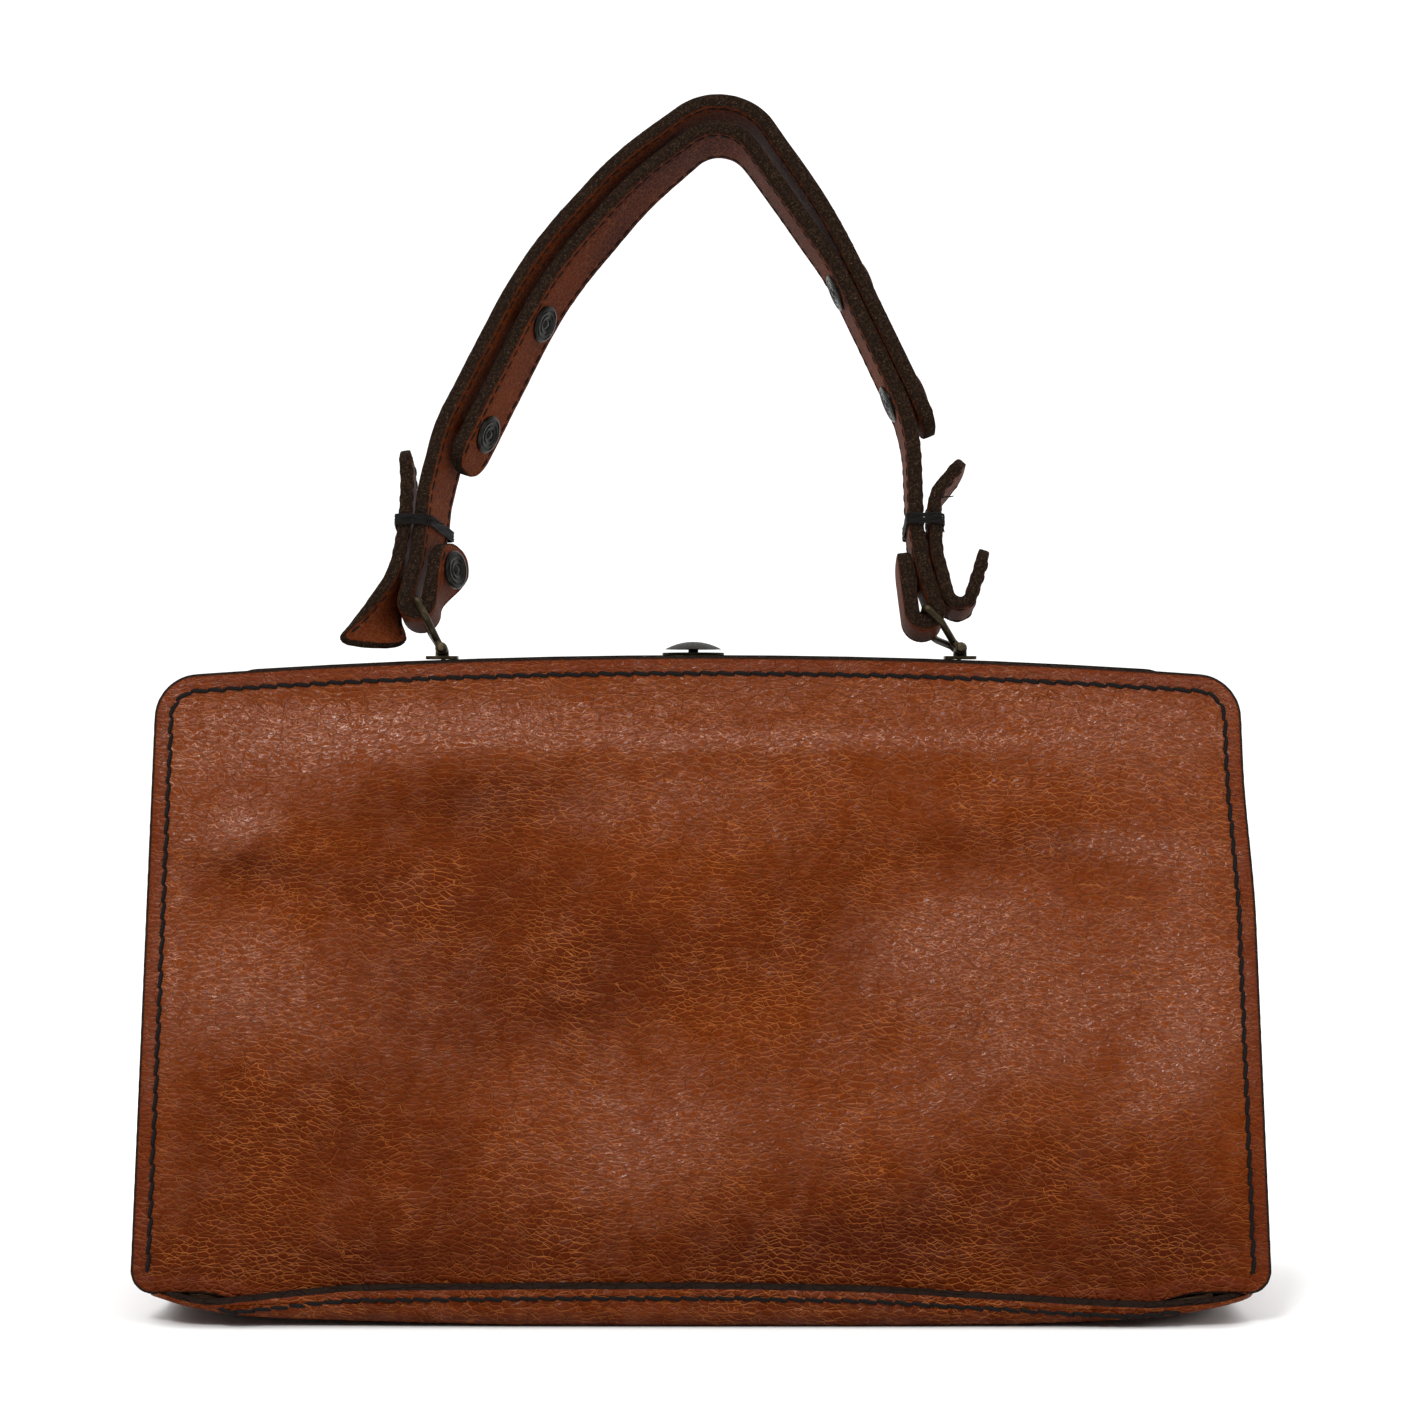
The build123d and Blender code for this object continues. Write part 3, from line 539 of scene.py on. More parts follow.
def tube(line, radius, sides=8):
    line = np.asarray(line, float)
    radius = np.broadcast_to(np.asarray(radius, float), (len(line),))
    along = headings(line)
    side = np.cross(along[0], (0.3, 0.9, 0.2))
    side /= np.linalg.norm(side)
    rings = []
    for point, forward, size in zip(line, along, radius):
        side = side - forward * (side @ forward)
        side /= np.linalg.norm(side)
        up = np.cross(forward, side)
        angles = np.linspace(0, 2 * math.pi, sides, endpoint=False)
        rings.append(point + size * (np.cos(angles)[:, None] * side + np.sin(angles)[:, None] * up))
    return np.concatenate(rings), ringFaces(len(line), sides)


def evenly(line, step):
    line = np.asarray(line, float)
    lengths = runLengths(line)
    count = max(2, int(round(lengths[-1] / step)) + 1)
    return sampled(np.linspace(0, lengths[-1], count), lengths, line)


def roundedRun(corners, radii, step=1.0):
    corners = [np.array(c, float) for c in corners]
    line = [corners[0]]
    for i in range(1, len(corners) - 1):
        back, here, ahead = corners[i - 1], corners[i], corners[i + 1]
        a = (back - here) / np.linalg.norm(back - here)
        b = (ahead - here) / np.linalg.norm(ahead - here)
        angle = math.acos(np.clip(a @ b, -1, 1))
        if math.pi - angle < 1e-4:
            line.append(here)
            continue
        cut = radii[i - 1] / math.tan(angle / 2)
        middle = here + (a + b) / np.linalg.norm(a + b) * radii[i - 1] / math.sin(angle / 2)
        start, end = here + a * cut, here + b * cut
        turn = math.pi - angle
        steps = max(3, int(radii[i - 1] * turn / step))
        for k in range(steps + 1):
            t = k / steps
            mix = (start - middle) * math.sin((1 - t) * turn) + (end - middle) * math.sin(t * turn)
            line.append(middle + mix / math.sin(turn))
    line.append(corners[-1])
    return evenly(np.array(line), step)


def stitches(line, outward, sideways, pitch, thick, slant, lift, length=1.18, sides=6):
    # one short tube per stitch, with both ends sunk in the leather
    lengths = runLengths(line)
    spread = np.concatenate([line, outward, sideways], axis=1)
    parts = []
    t = np.linspace(-0.5, 0.5, 9)
    rise = lift * (1 - (2 * np.abs(t)) ** 2.6) - 0.35 * thick
    radius = thick / 2 * (1 - 0.35 * (2 * np.abs(t)) ** 4)
    for k in range(int(lengths[-1] / pitch)):
        here = sampled((k + 0.5) * pitch + t * pitch * length, lengths, spread)
        wobble = 0.12 * math.sin(k * 2.3) + 0.08 * math.sin(k * 5.1)
        aside = slant * 2 * t + wobble * slant
        path = here[:, :3] + here[:, 3:6] * rise[:, None] + here[:, 6:9] * aside[:, None]
        parts.append(tube(path, radius, sides))
    return parts


def dress(node, finish):
    mesh = frame["nodes"][node].data
    mesh.materials.clear()
    mesh.materials.append(finish)


def boxMm(node):
    low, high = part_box(node)
    return np.array(low) / mm, np.array(high) / mm


jointPlace = {j["name"]: np.array(j["pos_m"]) / mm for j in frame["joints"] if "pos_m" in j}
hingeZ = jointPlace["rear_jaw_open"][2]
rearFlexLow, rearFlexHigh = boxMm("rear_panel_flex")
rearTopLow, rearTopHigh = boxMm("rear_panel_top")
halfWidth = rearFlexHigh[0]
bodyHeight = rearTopHigh[2]
wallLow, wallHigh = (rearFlexLow[2], -rearFlexLow[1]), (rearTopLow[2], -rearTopLow[1])


def wallDepth(z):
    slope = (wallHigh[1] - wallLow[1]) / (wallHigh[0] - wallLow[0])
    return wallLow[1] + slope * (np.asarray(z, float) - wallLow[0])


def step(x, low, high):
    t = np.clip((np.asarray(x, float) - low) / (high - low), 0, 1)
    return t * t * (3 - 2 * t)


def spots(x, z, patches):
    total = np.zeros_like(x)
    for px, pz, wide, tall, turn, strength in patches:
        c, s = math.cos(math.radians(turn)), math.sin(math.radians(turn))
        a, b = (x - px) * c + (z - pz) * s, -(x - px) * s + (z - pz) * c
        total += strength * np.exp(-((a / wide) ** 2) - (b / tall) ** 2)
    return total


# the two large panels

panelSet = {
    "thickness": 2.1,
    "archRise": 6.5,
    "topCorner": 13.5,
    "footCorner": 7.0,
    "footHeight": 9.5,
    "seamInset": 5.4,
    "step": 2.3,
    "frameBand": 13.5,    # the flat strip over the frame, below the top edge
    "bandDepth": 14.2,
    "waves": 1.1,
    "waveSize": 34,
    "seamGroove": 0.35,
    "rimSink": 0.55,
    "edgeRound": 0.95,
    "footDrop": 4.5,    # the foot reaches down behind the base's lap
    "footEnds": (150, 128),
    "rightDrift": 2.0,    # the right edge leans in towards the top
    "driftHeights": (118, 168),
    "stitch": {"pitch": 5.3, "thick": 1.4, "slant": 0.5, "lift": 0.6},
}
# swells, painted sheen (also glossier there) and darker patches (random tone and painted shade) of the rear
# panel: x, z, width, height, turn, strength
rearSwells = [
    (-143, 147, 12, 7, 20, 2.0), (140, 145, 13, 6, -8, 1.9), (0, 70, 120, 46, 0, 2.6),
    (-60, 157, 40, 9, 4, -0.9), (95, 141, 45, 7, 0, -0.9), (0, 173, 110, 4.5, 0, 0.7),
    (-120, 100, 30, 22, 0, 0.9), (100, 98, 45, 24, 20, 1.2), (-20, 52, 40, 18, 8, 1.0),
    (50, 120, 40, 9, 16, -0.9), (-95, 62, 45, 16, 14, -0.8), (125, 52, 40, 10, 32, -0.8),
    (-136, 132, 26, 5, -10, -0.9), (20, 22, 90, 9, 0, -0.6),
]
rearGlossAndPaintedSheen = [
    (-140, 166, 30, 20, 10, 0.40), (-163, 120, 9, 60, 0, 0.35), (-144, 147, 11, 5, 15, 0.9),
    (-90, 176, 56, 8, 4, 0.62), (30, 174.5, 84, 3.6, 0, 0.62), (-4, 156, 48, 13, 0, 0.42),
    (-142, 104, 20, 18, 0, 0.5), (-112, 94, 40, 20, 10, 0.3), (-14, 52, 40, 20, 10, 0.5),
    (-44, 72, 44, 18, 0, 0.22), (102, 96, 52, 28, 12, 0.55), (74, 116, 30, 13, 15, 0.5),
    (128, 172, 44, 20, 0, 0.40), (138, 141, 24, 5, -8, 0.65), (152, 108, 16, 46, 0, 0.42),
    (142, 76, 26, 11, 48, 0.5), (40, 190, 110, 6, 0, 0.25), (60, 62, 34, 12, 20, 0.3),
]
rearToneAndPaintedShade = [
    (-70, 157, 40, 11, 4, 0.55), (-25, 110, 84, 20, 6, 0.60), (-95, 130, 52, 9, 0, 0.35),
    (-139, 136, 20, 6, -8, 0.7), (92, 142, 52, 8, 0, 0.5), (-122, 52, 62, 30, 8, 0.5),
    (-105, 18, 80, 11, 0, 0.6), (35, 20, 80, 12, 0, 0.5), (92, 42, 72, 14, 14, 0.5),
    (40, 82, 40, 10, 16, 0.3), (-60, 88, 50, 10, 12, 0.3), (140, 24, 40, 16, 0, 0.45),
]


def arcPoints(x, z, size, start, end, count=24):
    return [(x + size * math.cos(t), z + size * math.sin(t)) for t in np.linspace(start, end, count)]


def panelOutline():
    w, rise, r, foot = halfWidth, panelSet["archRise"], panelSet["topCorner"], panelSet["footCorner"]
    low = panelSet["footHeight"]
    arch = (w * w + rise * rise) / (2 * rise)
    middleZ = bodyHeight - arch
    cornerZ = middleZ + math.sqrt((arch - r) ** 2 - (w - r) ** 2)
    meet = math.atan2(cornerZ - middleZ, w - r)
    quarter = math.pi / 2
    run = arcPoints(-w + foot, low + foot, foot, 2 * quarter, 3 * quarter)
    run += arcPoints(w - foot, low + foot, foot, 3 * quarter, 4 * quarter)
    run += arcPoints(w - r, cornerZ, r, 0, meet)
    run += arcPoints(0, middleZ, arch, meet, math.pi - meet, 120)
    run += arcPoints(-w + r, cornerZ, r, math.pi - meet, 2 * quarter)
    run.append(run[0])
    return np.array(run)


def footDrop(x):
    return -panelSet["footDrop"] * step(np.abs(x), *panelSet["footEnds"])


def drifted(x, z):
    return x - panelSet["rightDrift"] * step(z, *panelSet["driftHeights"]) * step(x, 60, halfWidth)


def panelGrid():
    outline = evenly(panelOutline(), 0.5)
    w = halfWidth
    marks = [(-w + 2, panelSet["footHeight"] + 2), (w - 2, panelSet["footHeight"] + 2)]
    marks += [(w - 4, bodyHeight - 10.5), (-w + 4, bodyHeight - 10.5)]
    cuts = [int(np.argmin(np.linalg.norm(outline - np.array(m), axis=1))) for m in marks]
    outline = np.roll(outline[:-1], -cuts[0], axis=0)
    cuts = [(c - cuts[0]) % len(outline) for c in cuts] + [len(outline)]
    ring = np.concatenate([outline, outline[:1]])
    sides = [ring[cuts[k]:cuts[k + 1] + 1] for k in range(4)]
    bottom, right, top, left = sides[0], sides[1], sides[2][::-1], sides[3][::-1]
    # rows lie close together over the rounded edge and the seam
    near = [0, 0.22, 0.5, 0.85, 1.3, 1.9, 2.7, 3.6, 4.4, 5.0, 5.4, 5.8, 6.4, 7.4, 9.0, 11.0]

    def fractions(length):
        count = int((length - 2 * near[-1]) / panelSet["step"])
        inner = np.linspace(near[-1], length - near[-1], count + 1)[1:-1]
        return np.concatenate([near, inner, length - np.array(near[::-1])]) / length

    def along(line, at):
        lengths = runLengths(line)
        return sampled(at * lengths[-1], lengths, line)

    across, up = fractions(2 * w), fractions(bodyHeight - 12)
    b, t, l, r = along(bottom, across), along(top, across), along(left, up), along(right, up)
    u, v = across[None, :, None], up[:, None, None]
    grid = (1 - v) * b[None] + v * t[None] + (1 - u) * l[:, None] + u * r[:, None]
    grid -= (1 - u) * (1 - v) * b[0] + u * (1 - v) * b[-1] + (1 - u) * v * t[0] + u * v * t[-1]
    return grid, outline


def distanceTo(points, outline):
    nearest = np.empty(len(points))
    for k in range(0, len(points), 2000):
        block = points[k:k + 2000]
        nearest[k:k + 2000] = np.sqrt(((block[:, None] - outline[None]) ** 2).sum(2).min(1))
    return nearest


def panelSurface(x, z, rim, swells, seed):
    band = bodyHeight - panelSet["frameBand"]
    slope = wallDepth(z)
    upright = panelSet["bandDepth"] + 0.02 * (bodyHeight - z)
    depth = np.maximum(slope, upright)
    depth = slope + (upright - slope) * step(z, band - 7, band + 1) * step(np.abs(x), 168, 140)
    spread = np.stack([x / 1.9, np.full_like(x, seed), z], axis=1)
    wave = smoothNoise(spread, panelSet["waveSize"], seed, 2) * panelSet["waves"]
    quiet = step(rim, 3, 26) * (1 - 0.75 * step(z, band - 3, band + 3))
    depth = depth + (spots(x, z, swells) + wave) * quiet
    depth = depth - panelSet["seamGroove"] * np.exp(-(((rim - panelSet["seamInset"]) / 0.8) ** 2))
    return depth - panelSet["rimSink"] * (1 - step(rim, 0, 5.0)) ** 2


def buildPanel(name, side, swells, glossAndPaintedSheen, tone, seed):
    grid, outline = panelGrid()
    rows, columns = grid.shape[:2]
    flat = grid.reshape(-1, 2)
    rim = distanceTo(flat, outline)
    x, z = flat[:, 0].copy(), flat[:, 1].copy()
    depth = panelSurface(x, z, rim, swells, seed)
    edgeRound = panelSet["edgeRound"]
    inset = np.clip(rim, 0, edgeRound)
    curl = edgeRound - np.sqrt(np.maximum(edgeRound**2 - (edgeRound - inset) ** 2, 0))
    z = z + footDrop(x) * step(z, 30, panelSet["footHeight"])
    x = drifted(x, z)
    outer = np.stack([x, side * (depth - curl), z], axis=1)
    inner = np.stack([x, side * (depth - panelSet["thickness"] + curl * 0.5), z], axis=1)
    # painted sheen spots, with more painted sheen towards the top
    outerGlossAndPaintedSheen = np.clip(spots(x, z, glossAndPaintedSheen) + 0.22 * step(z, 158, 186), 0, 1)
    # tone patches, with painted shade darker towards the foot and lighter towards the top
    outerToneAndPaintedShade = spots(x, z, tone) - 0.12 + 0.25 * step(z, 70, 8) - 0.3 * step(z, 150, 185)
    marks = {
        "rim": np.concatenate([rim, np.minimum(rim, 0.4)]),
        "glossAndPaintedSheen": np.concatenate([outerGlossAndPaintedSheen, np.zeros(len(x))]),
        "tone": np.concatenate([np.clip(outerToneAndPaintedShade, -0.3, 1), np.ones(len(x))]),
    }
    piece = makePiece(name, np.concatenate([outer, inner]), shellFaces(rows, columns), pebbled, marks)
    return piece, outline


def inwardOf(outline):
    forward = headings(outline)
    return np.stack([-forward[:, 1], forward[:, 0]], axis=1)


def fromLongestGap(line):
    # a closed run with a stretch left out then starts and ends at that gap
    gap = int(np.argmax(np.linalg.norm(np.diff(line, axis=0), axis=1)))
    return np.concatenate([line[gap + 1:], line[:gap + 1]])


def seamLine(outline, inset):
    line = outline + inwardOf(outline) * inset
    aboveFoot = line[:, 1] > panelSet["footHeight"] + inset + 1.0
    atSides = np.abs(line[:, 0]) > halfWidth - inset - 0.8
    return evenly(fromLongestGap(line[aboveFoot | atSides]), 1.0)


def buildSeam(name, side, outline, swells, seed):
    line = seamLine(outline, panelSet["seamInset"])
    x, z = line[:, 0].copy(), line[:, 1].copy()
    depth = panelSurface(x, z, np.full(len(x), panelSet["seamInset"]), swells, seed)
    points = np.stack([drifted(x, z), side * depth, z], axis=1)
    outward = np.tile(np.array([0, side * 0.975, 0.22]), (len(points), 1))
    parts = stitches(points, outward, np.cross(headings(points), outward), **panelSet["stitch"])
    allPoints, faces = joinParts(parts)
    return makePiece(name, allPoints, faces, thread, sharp=80)


def bend(piece):
    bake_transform(piece)


def mirrored(patches):
    # the front panel has the rear one's patches the other way round, a little shifted
    return [(-x * 0.9 + 8, z * 0.93 + 4, w, t, -a, s) for x, z, w, t, a, s in patches]


rearSeed, frontSeed = 3.0, 11.0
frontSwells = mirrored(rearSwells)
rearPanel, rearOutline = buildPanel("rearPanel", -1, rearSwells, rearGlossAndPaintedSheen, rearToneAndPaintedShade, rearSeed)
rearSeam = buildSeam("rearPanelStitching", -1, rearOutline, rearSwells, rearSeed)
frontPanel, frontOutline = buildPanel(
    "frontPanel", 1, frontSwells, mirrored(rearGlossAndPaintedSheen), mirrored(rearToneAndPaintedShade), frontSeed)
frontSeam = buildSeam("frontPanelStitching", 1, frontOutline, frontSwells, frontSeed)
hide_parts("rear_panel", "rear_panel_flex", "rear_panel_top")
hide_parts("front_panel", "front_panel_flex", "front_panel_top")
for piece, side, slot in (
    (rearPanel, -1, "pebbled_leather"), (rearSeam, -1, "thread"),
    (frontPanel, 1, "pebbled_leather"), (frontSeam, 1, "thread"),
):
    bend(piece)
print("panels and their stitching ready")

# the base with its wavy lap

baseHigh = boxMm("base_panel")[1]
baseSet = {
    "halfLong": baseHigh[0],
    "halfDeep": baseHigh[1],
    "corner": 14.0,
    "edgeRound": 5.5,
    "leather": 2.2,
    "lean": 0.224,
    "endLap": 11.6,    # height of the lap's edge across the ends
    # height of the lap's raw edge and of the underside along the rear: x, height
    "lapTop": [
        (-170, 12.2), (-163, 11.4), (-147, 8.2), (-125, 10.6), (-104, 12.6), (-40, 13.1), (10, 13.1),
        (50, 12.3), (89, 10.0), (120, 8.2), (136, 7.6), (152, 9.0), (166, 10.6), (170, 11.2),
    ],
    "under": [
        (-170, 10.2), (-163, 8.8), (-154, 6.4), (-148, 5.2), (-137, 3.2), (-119, 1.9), (-95, 1.2),
        (-60, 0.3), (0, 0.0), (60, 0.0), (90, 0.4), (118, 1.6), (138, 3.2), (150, 5.2), (157, 6.6),
        (163, 8.0), (170, 9.4),
    ],
    "stitch": {"pitch": 5.3, "thick": 1.3, "slant": 0.4, "lift": 0.75},
}


def easyCurve(x, table):
    xs, ys = np.array(table, float).T
    fineX = np.linspace(xs[0], xs[-1], 400)
    fineY = np.interp(fineX, xs, ys)
    kernel = np.exp(-np.linspace(-2, 2, 21) ** 2)
    padded = np.pad(fineY, 10, mode="edge")
    return np.interp(x, fineX, np.convolve(padded, kernel / kernel.sum(), "valid"))


def roundPlan(inset, longSide=150, corner=14, shortSide=34):
    # the base's outline, with the same number of points at every inset
    a, b = baseSet["halfLong"] - inset, baseSet["halfDeep"] - inset
    r = max(baseSet["corner"] - inset, 2.5)
    turns = [(-1, -1, 180), (1, -1, 270), (1, 1, 0), (-1, 1, 90)]
    points = []
    for k, (sx, sy, start) in enumerate(turns):
        centre = np.array([sx * (a - r), sy * (b - r)])
        for t in np.radians(np.linspace(start, start + 90, corner)):
            points.append(centre + r * np.array([math.cos(t), math.sin(t)]))
        last = points[-1]
        nx, ny, nextStart = turns[(k + 1) % 4]
        t = math.radians(nextStart)
        target = np.array([nx * (a - r), ny * (b - r)]) + r * np.array([math.cos(t), math.sin(t)])
        side = longSide if k % 2 == 0 else shortSide
        for t in np.linspace(0, 1, side + 2)[1:-1]:
            points.append((1 - t) * last + t * target)
    return np.array(points)


def alongSide(x, y, table):
    return easyCurve(np.where(np.asarray(y) < 0, x, -np.asarray(x)), table)


def underHeight(x, y):
    share = 0.3 + 0.7 * np.clip(np.abs(y) / baseSet["halfDeep"], 0, 1) ** 2
    return alongSide(x, y, baseSet["under"]) * share


def lapHeight(x, y):
    end = step(np.abs(x), baseSet["halfLong"] - 6, baseSet["halfLong"])
    return alongSide(x, y, baseSet["lapTop"]) * (1 - end) + baseSet["endLap"] * end


def buildBase():
    outer = roundPlan(0)
    count = len(outer)
    x, y = outer[:, 0], outer[:, 1]
    low, top = underHeight(x, y), lapHeight(x, y)
    radius = np.clip((top - low) * 0.55, 0.8, baseSet["edgeRound"])
    lean, thick = baseSet["lean"], baseSet["leather"]
    spacing, deepest = 0.5, 60
    stack = np.stack([roundPlan(inset) for inset in np.arange(0, deepest + 0.1, spacing)])

    def at(inset):
        inset = np.clip(np.broadcast_to(inset, (count,)), 0, deepest - 0.1)
        k = np.floor(inset / spacing).astype(int)
        f = (inset / spacing - k)[:, None]
        i = np.arange(count)
        return stack[k, i] * (1 - f) + stack[k + 1, i] * f

    rings, rims = [], []

    def ring(inset, z, rim):
        plan = at(inset)
        z = np.broadcast_to(z, (count,))
        rings.append(np.stack([plan[:, 0], plan[:, 1], z], axis=1))
        rims.append(np.broadcast_to(rim, (count,)))

    for inset in (46, 30, 17):
        plan = at(inset)
        ring(inset, underHeight(plan[:, 0], plan[:, 1]), 9)
    # curls up from the underside, then leans in up to the lap's ragged edge
    for t in np.radians(np.linspace(0, 90, 8)):
        z = low + radius * (1 - math.cos(t))
        ring(radius * (1 - math.sin(t)) + lean * z * 0.4, z, 9)
    start = low + radius
    for t in np.linspace(0.15, 1, 6):
        z = start + (top - 2.0 - start) * t
        belly = 0.5 * math.sin(math.pi * t)
        ring(np.maximum(lean * z * 0.9 - belly, 0), z, 9)
    edgeWave = smoothNoise(np.stack([x, y, x * 0], axis=1), 5, 2.0) * 0.22
    for drop, inset, rim in ((1.75, -0.2, 0.3), (1.0, 0, 0), (0.45, 0.6, 0), (0.12, 1.1, 0), (0.1, 1.7, 0)):
        ring(lean * top * 0.9 + inset, top - drop + edgeWave, rim)
    ring(lean * top + thick, top - 0.8, 0.5)
    ring(lean * top + thick + 0.3, np.maximum(top * 0.5, low + thick + 0.6), 9)
    for inset in (9, 20, 46):
        plan = at(inset)
        ring(inset, underHeight(plan[:, 0], plan[:, 1]) + thick, 9)
    points = np.concatenate(rings)
    rim = np.concatenate(rims)
    faces = ringFaces(len(rings), count)
    # painted shade: the base gets darker towards its underside; a little even sheen
    marks = {
        "rim": np.where(rim < 1, rim, 9), "glossAndPaintedSheen": np.full(len(points), 0.12),
        "tone": 0.45 + 0.35 * step(points[:, 2], 6, 1),
    }
    return makePiece("basePanel", points, faces, pebbled, marks), at


def buildBaseSeam(at):
    plan = at(0.0)
    front = plan[plan[:, 1] < -baseSet["halfDeep"] + 0.5]
    xs = np.arange(front[:, 0].min() + 6, front[:, 0].max() - 6, 1.0)
    parts = []
    for side in (-1, 1):
        x = xs if side < 0 else xs[::-1]
        y = np.full(len(x), side * baseSet["halfDeep"])
        top, low = lapHeight(x, y), underHeight(x, y)
        z = np.maximum(top - 4.4, low + 1.2)
        inset = baseSet["lean"] * z * 0.9 - 0.25
        points = np.stack([x, y - side * inset, z], axis=1)
        points = points[top - low > 4.2]    # no seam where the lap is too narrow for one
        outward = np.tile(np.array([0, side * 0.98, 0.2]), (len(points), 1))
        parts += stitches(points, outward, np.cross(headings(points), outward), **baseSet["stitch"])
    points, faces = joinParts(parts)
    return makePiece("baseStitching", points, faces, thread, sharp=80)


basePanel, baseAt = buildBase()
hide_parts("base_panel")
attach(basePanel, "root")
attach(buildBaseSeam(baseAt), "root")


boardSet = {"halfLong": 153, "thickness": 1.9, "gap": 0.25}


def buildBoard():
    high = boxMm("base_board")[1]
    high[0] = min(high[0], boardSet["halfLong"])
    x, y = np.linspace(-high[0], high[0], 90), np.linspace(-high[1], high[1], 30)
    gx, gy = np.meshgrid(x, y)
    low = underHeight(gx, gy) + baseSet["leather"] + boardSet["gap"]
    layers = [np.stack([gx, gy, low + lift], axis=2) for lift in (boardSet["thickness"], 0.0)]
    points = np.concatenate([layer.reshape(-1, 3) for layer in layers])
    return makePiece("baseBoard", points, shellFaces(30, 90), board)


baseBoard = buildBoard()
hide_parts("base_board")
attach(baseBoard, "root")
print("base ready")

# folded ends and lining

gussetSet = {
    "thickness": 1.8, "inset": 11.0, "low": 4.5, "top": 138.0,
    "fold": 26.0,    # how deep the fold goes in at the height of the hinge
    "foldRound": 9.0, "foldBulge": 1.2,
    "flange": 8.0, "flangeFrom": 13.5, "footFlange": 2.0,
    "panelGap": 0.35, "lapGap": 3.0, "footGap": 2.6,
    "sway": 1.1, "swaySize": 26,
}
liningSet = {
    "thickness": 0.8, "low": 5.2, "top": 180.0, "endTop": 134,
    "panelGap": 1.5, "lapGap": 4.6, "footGap": 5.4, "floorGap": 5.0,
    "endPanelGap": 2.6, "endLapGap": 5.6,
    "frameBand": 24, "frameReach": 13.2,    # the lining's top band hangs from the frame
    "folds": 0.9, "deepestFold": 2.2,
    "sheetInset": 14.2, "slack": 1.03, "area": 0.93,
}


def lifted(grid, low, top, gap):
    # moves the foot of a wall up to the base, which curls at its corners
    foot = underHeight(grid[..., 0], grid[..., 1]) + gap
    out = grid.copy()
    out[..., 2] = foot + (grid[..., 2] - low) * (top - foot) / (top - low)
    return out


def lapDepth(z):
    return baseSet["halfDeep"] - baseSet["lean"] * z


def foldAt(z):
    return 2 + gussetSet["fold"] * np.asarray(z, float) / hingeZ


def sheetPiece(name, grid, thickness, finish, marks, flip=1):
    du, dv = np.gradient(grid, axis=1), np.gradient(grid, axis=0)
    normal = np.cross(du, dv)
    normal /= np.maximum(np.linalg.norm(normal, axis=2), 1e-9)[:, :, None]
    other = grid + normal * thickness * flip
    rows, columns = grid.shape[:2]
    points = np.concatenate([grid.reshape(-1, 3), other.reshape(-1, 3)])
    marks = {k: np.concatenate([v.ravel(), v.ravel()]) for k, v in marks.items()}
    return makePiece(name, points, shellFaces(rows, columns), finish, marks)


def buildGussetHalf(name, end, side):
    sheetX = halfWidth - gussetSet["inset"]
    heights = np.linspace(gussetSet["low"], gussetSet["top"], 48)
    rows = []
    for z in heights:
        reach = wallDepth(z) - panelSet["thickness"] - gussetSet["panelGap"]
        reach = min(reach, lapDepth(z) - gussetSet["lapGap"])
        deep = sheetX - foldAt(z)
        flangeEnd = sheetX + gussetSet["flange" if z > gussetSet["flangeFrom"] else "footFlange"]
        run = roundedRun([(flangeEnd, reach), (sheetX + 0.5, reach - 0.2), (deep, 0.0)], [3.0], 0.7)
        run = sampled(np.linspace(0, 1, 34), np.linspace(0, 1, len(run)), run)
        soft = step(run[:, 1], 0, gussetSet["foldRound"])
        bulge = gussetSet["foldBulge"] * (1 - (run[:, 1] / gussetSet["foldRound"]) ** 2).clip(0)
        run[:, 0] = run[:, 0] * soft + (deep + bulge) * (1 - soft)
        rows.append(np.stack([end * run[:, 0], side * run[:, 1], np.full(len(run), z)], axis=1))
    grid = np.array(rows)
    flat = grid.reshape(-1, 3)
    loose = step(np.abs(flat[:, 1]), 0, 5) * step(wallDepth(flat[:, 2]) - np.abs(flat[:, 1]), 4, 14)
    sway = smoothNoise(flat * np.array([1, 1, 0.6]), gussetSet["swaySize"], 5.0 + end + 2 * side, 2)
    grid[:, :, 0] += end * (sway * gussetSet["sway"] * loose).reshape(grid.shape[:2])
    grid = lifted(grid, gussetSet["low"], gussetSet["top"], gussetSet["footGap"])
    z, y = grid[:, :, 2], np.abs(grid[:, :, 1])
    # painted sheen higher up the end, painted shade deeper in its fold
    marks = {
        "rim": np.minimum(gussetSet["top"] - z, 9.0), "glossAndPaintedSheen": 0.2 * step(z, 60, 130),
        "tone": 0.25 + 0.3 * step(y, 14, 0),
    }
    inward = -1 if end * side > 0 else 1
    return sheetPiece(name, grid, gussetSet["thickness"], pebbled, marks, inward)


for end, label in ((-1, "left"), (1, "right")):
    for side, face in ((-1, "Rear"), (1, "Front")):
        half = buildGussetHalf(label + "Gusset" + face, end, side)
        bend(half)
    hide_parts(label + "_gusset", label + "_gusset_flex")


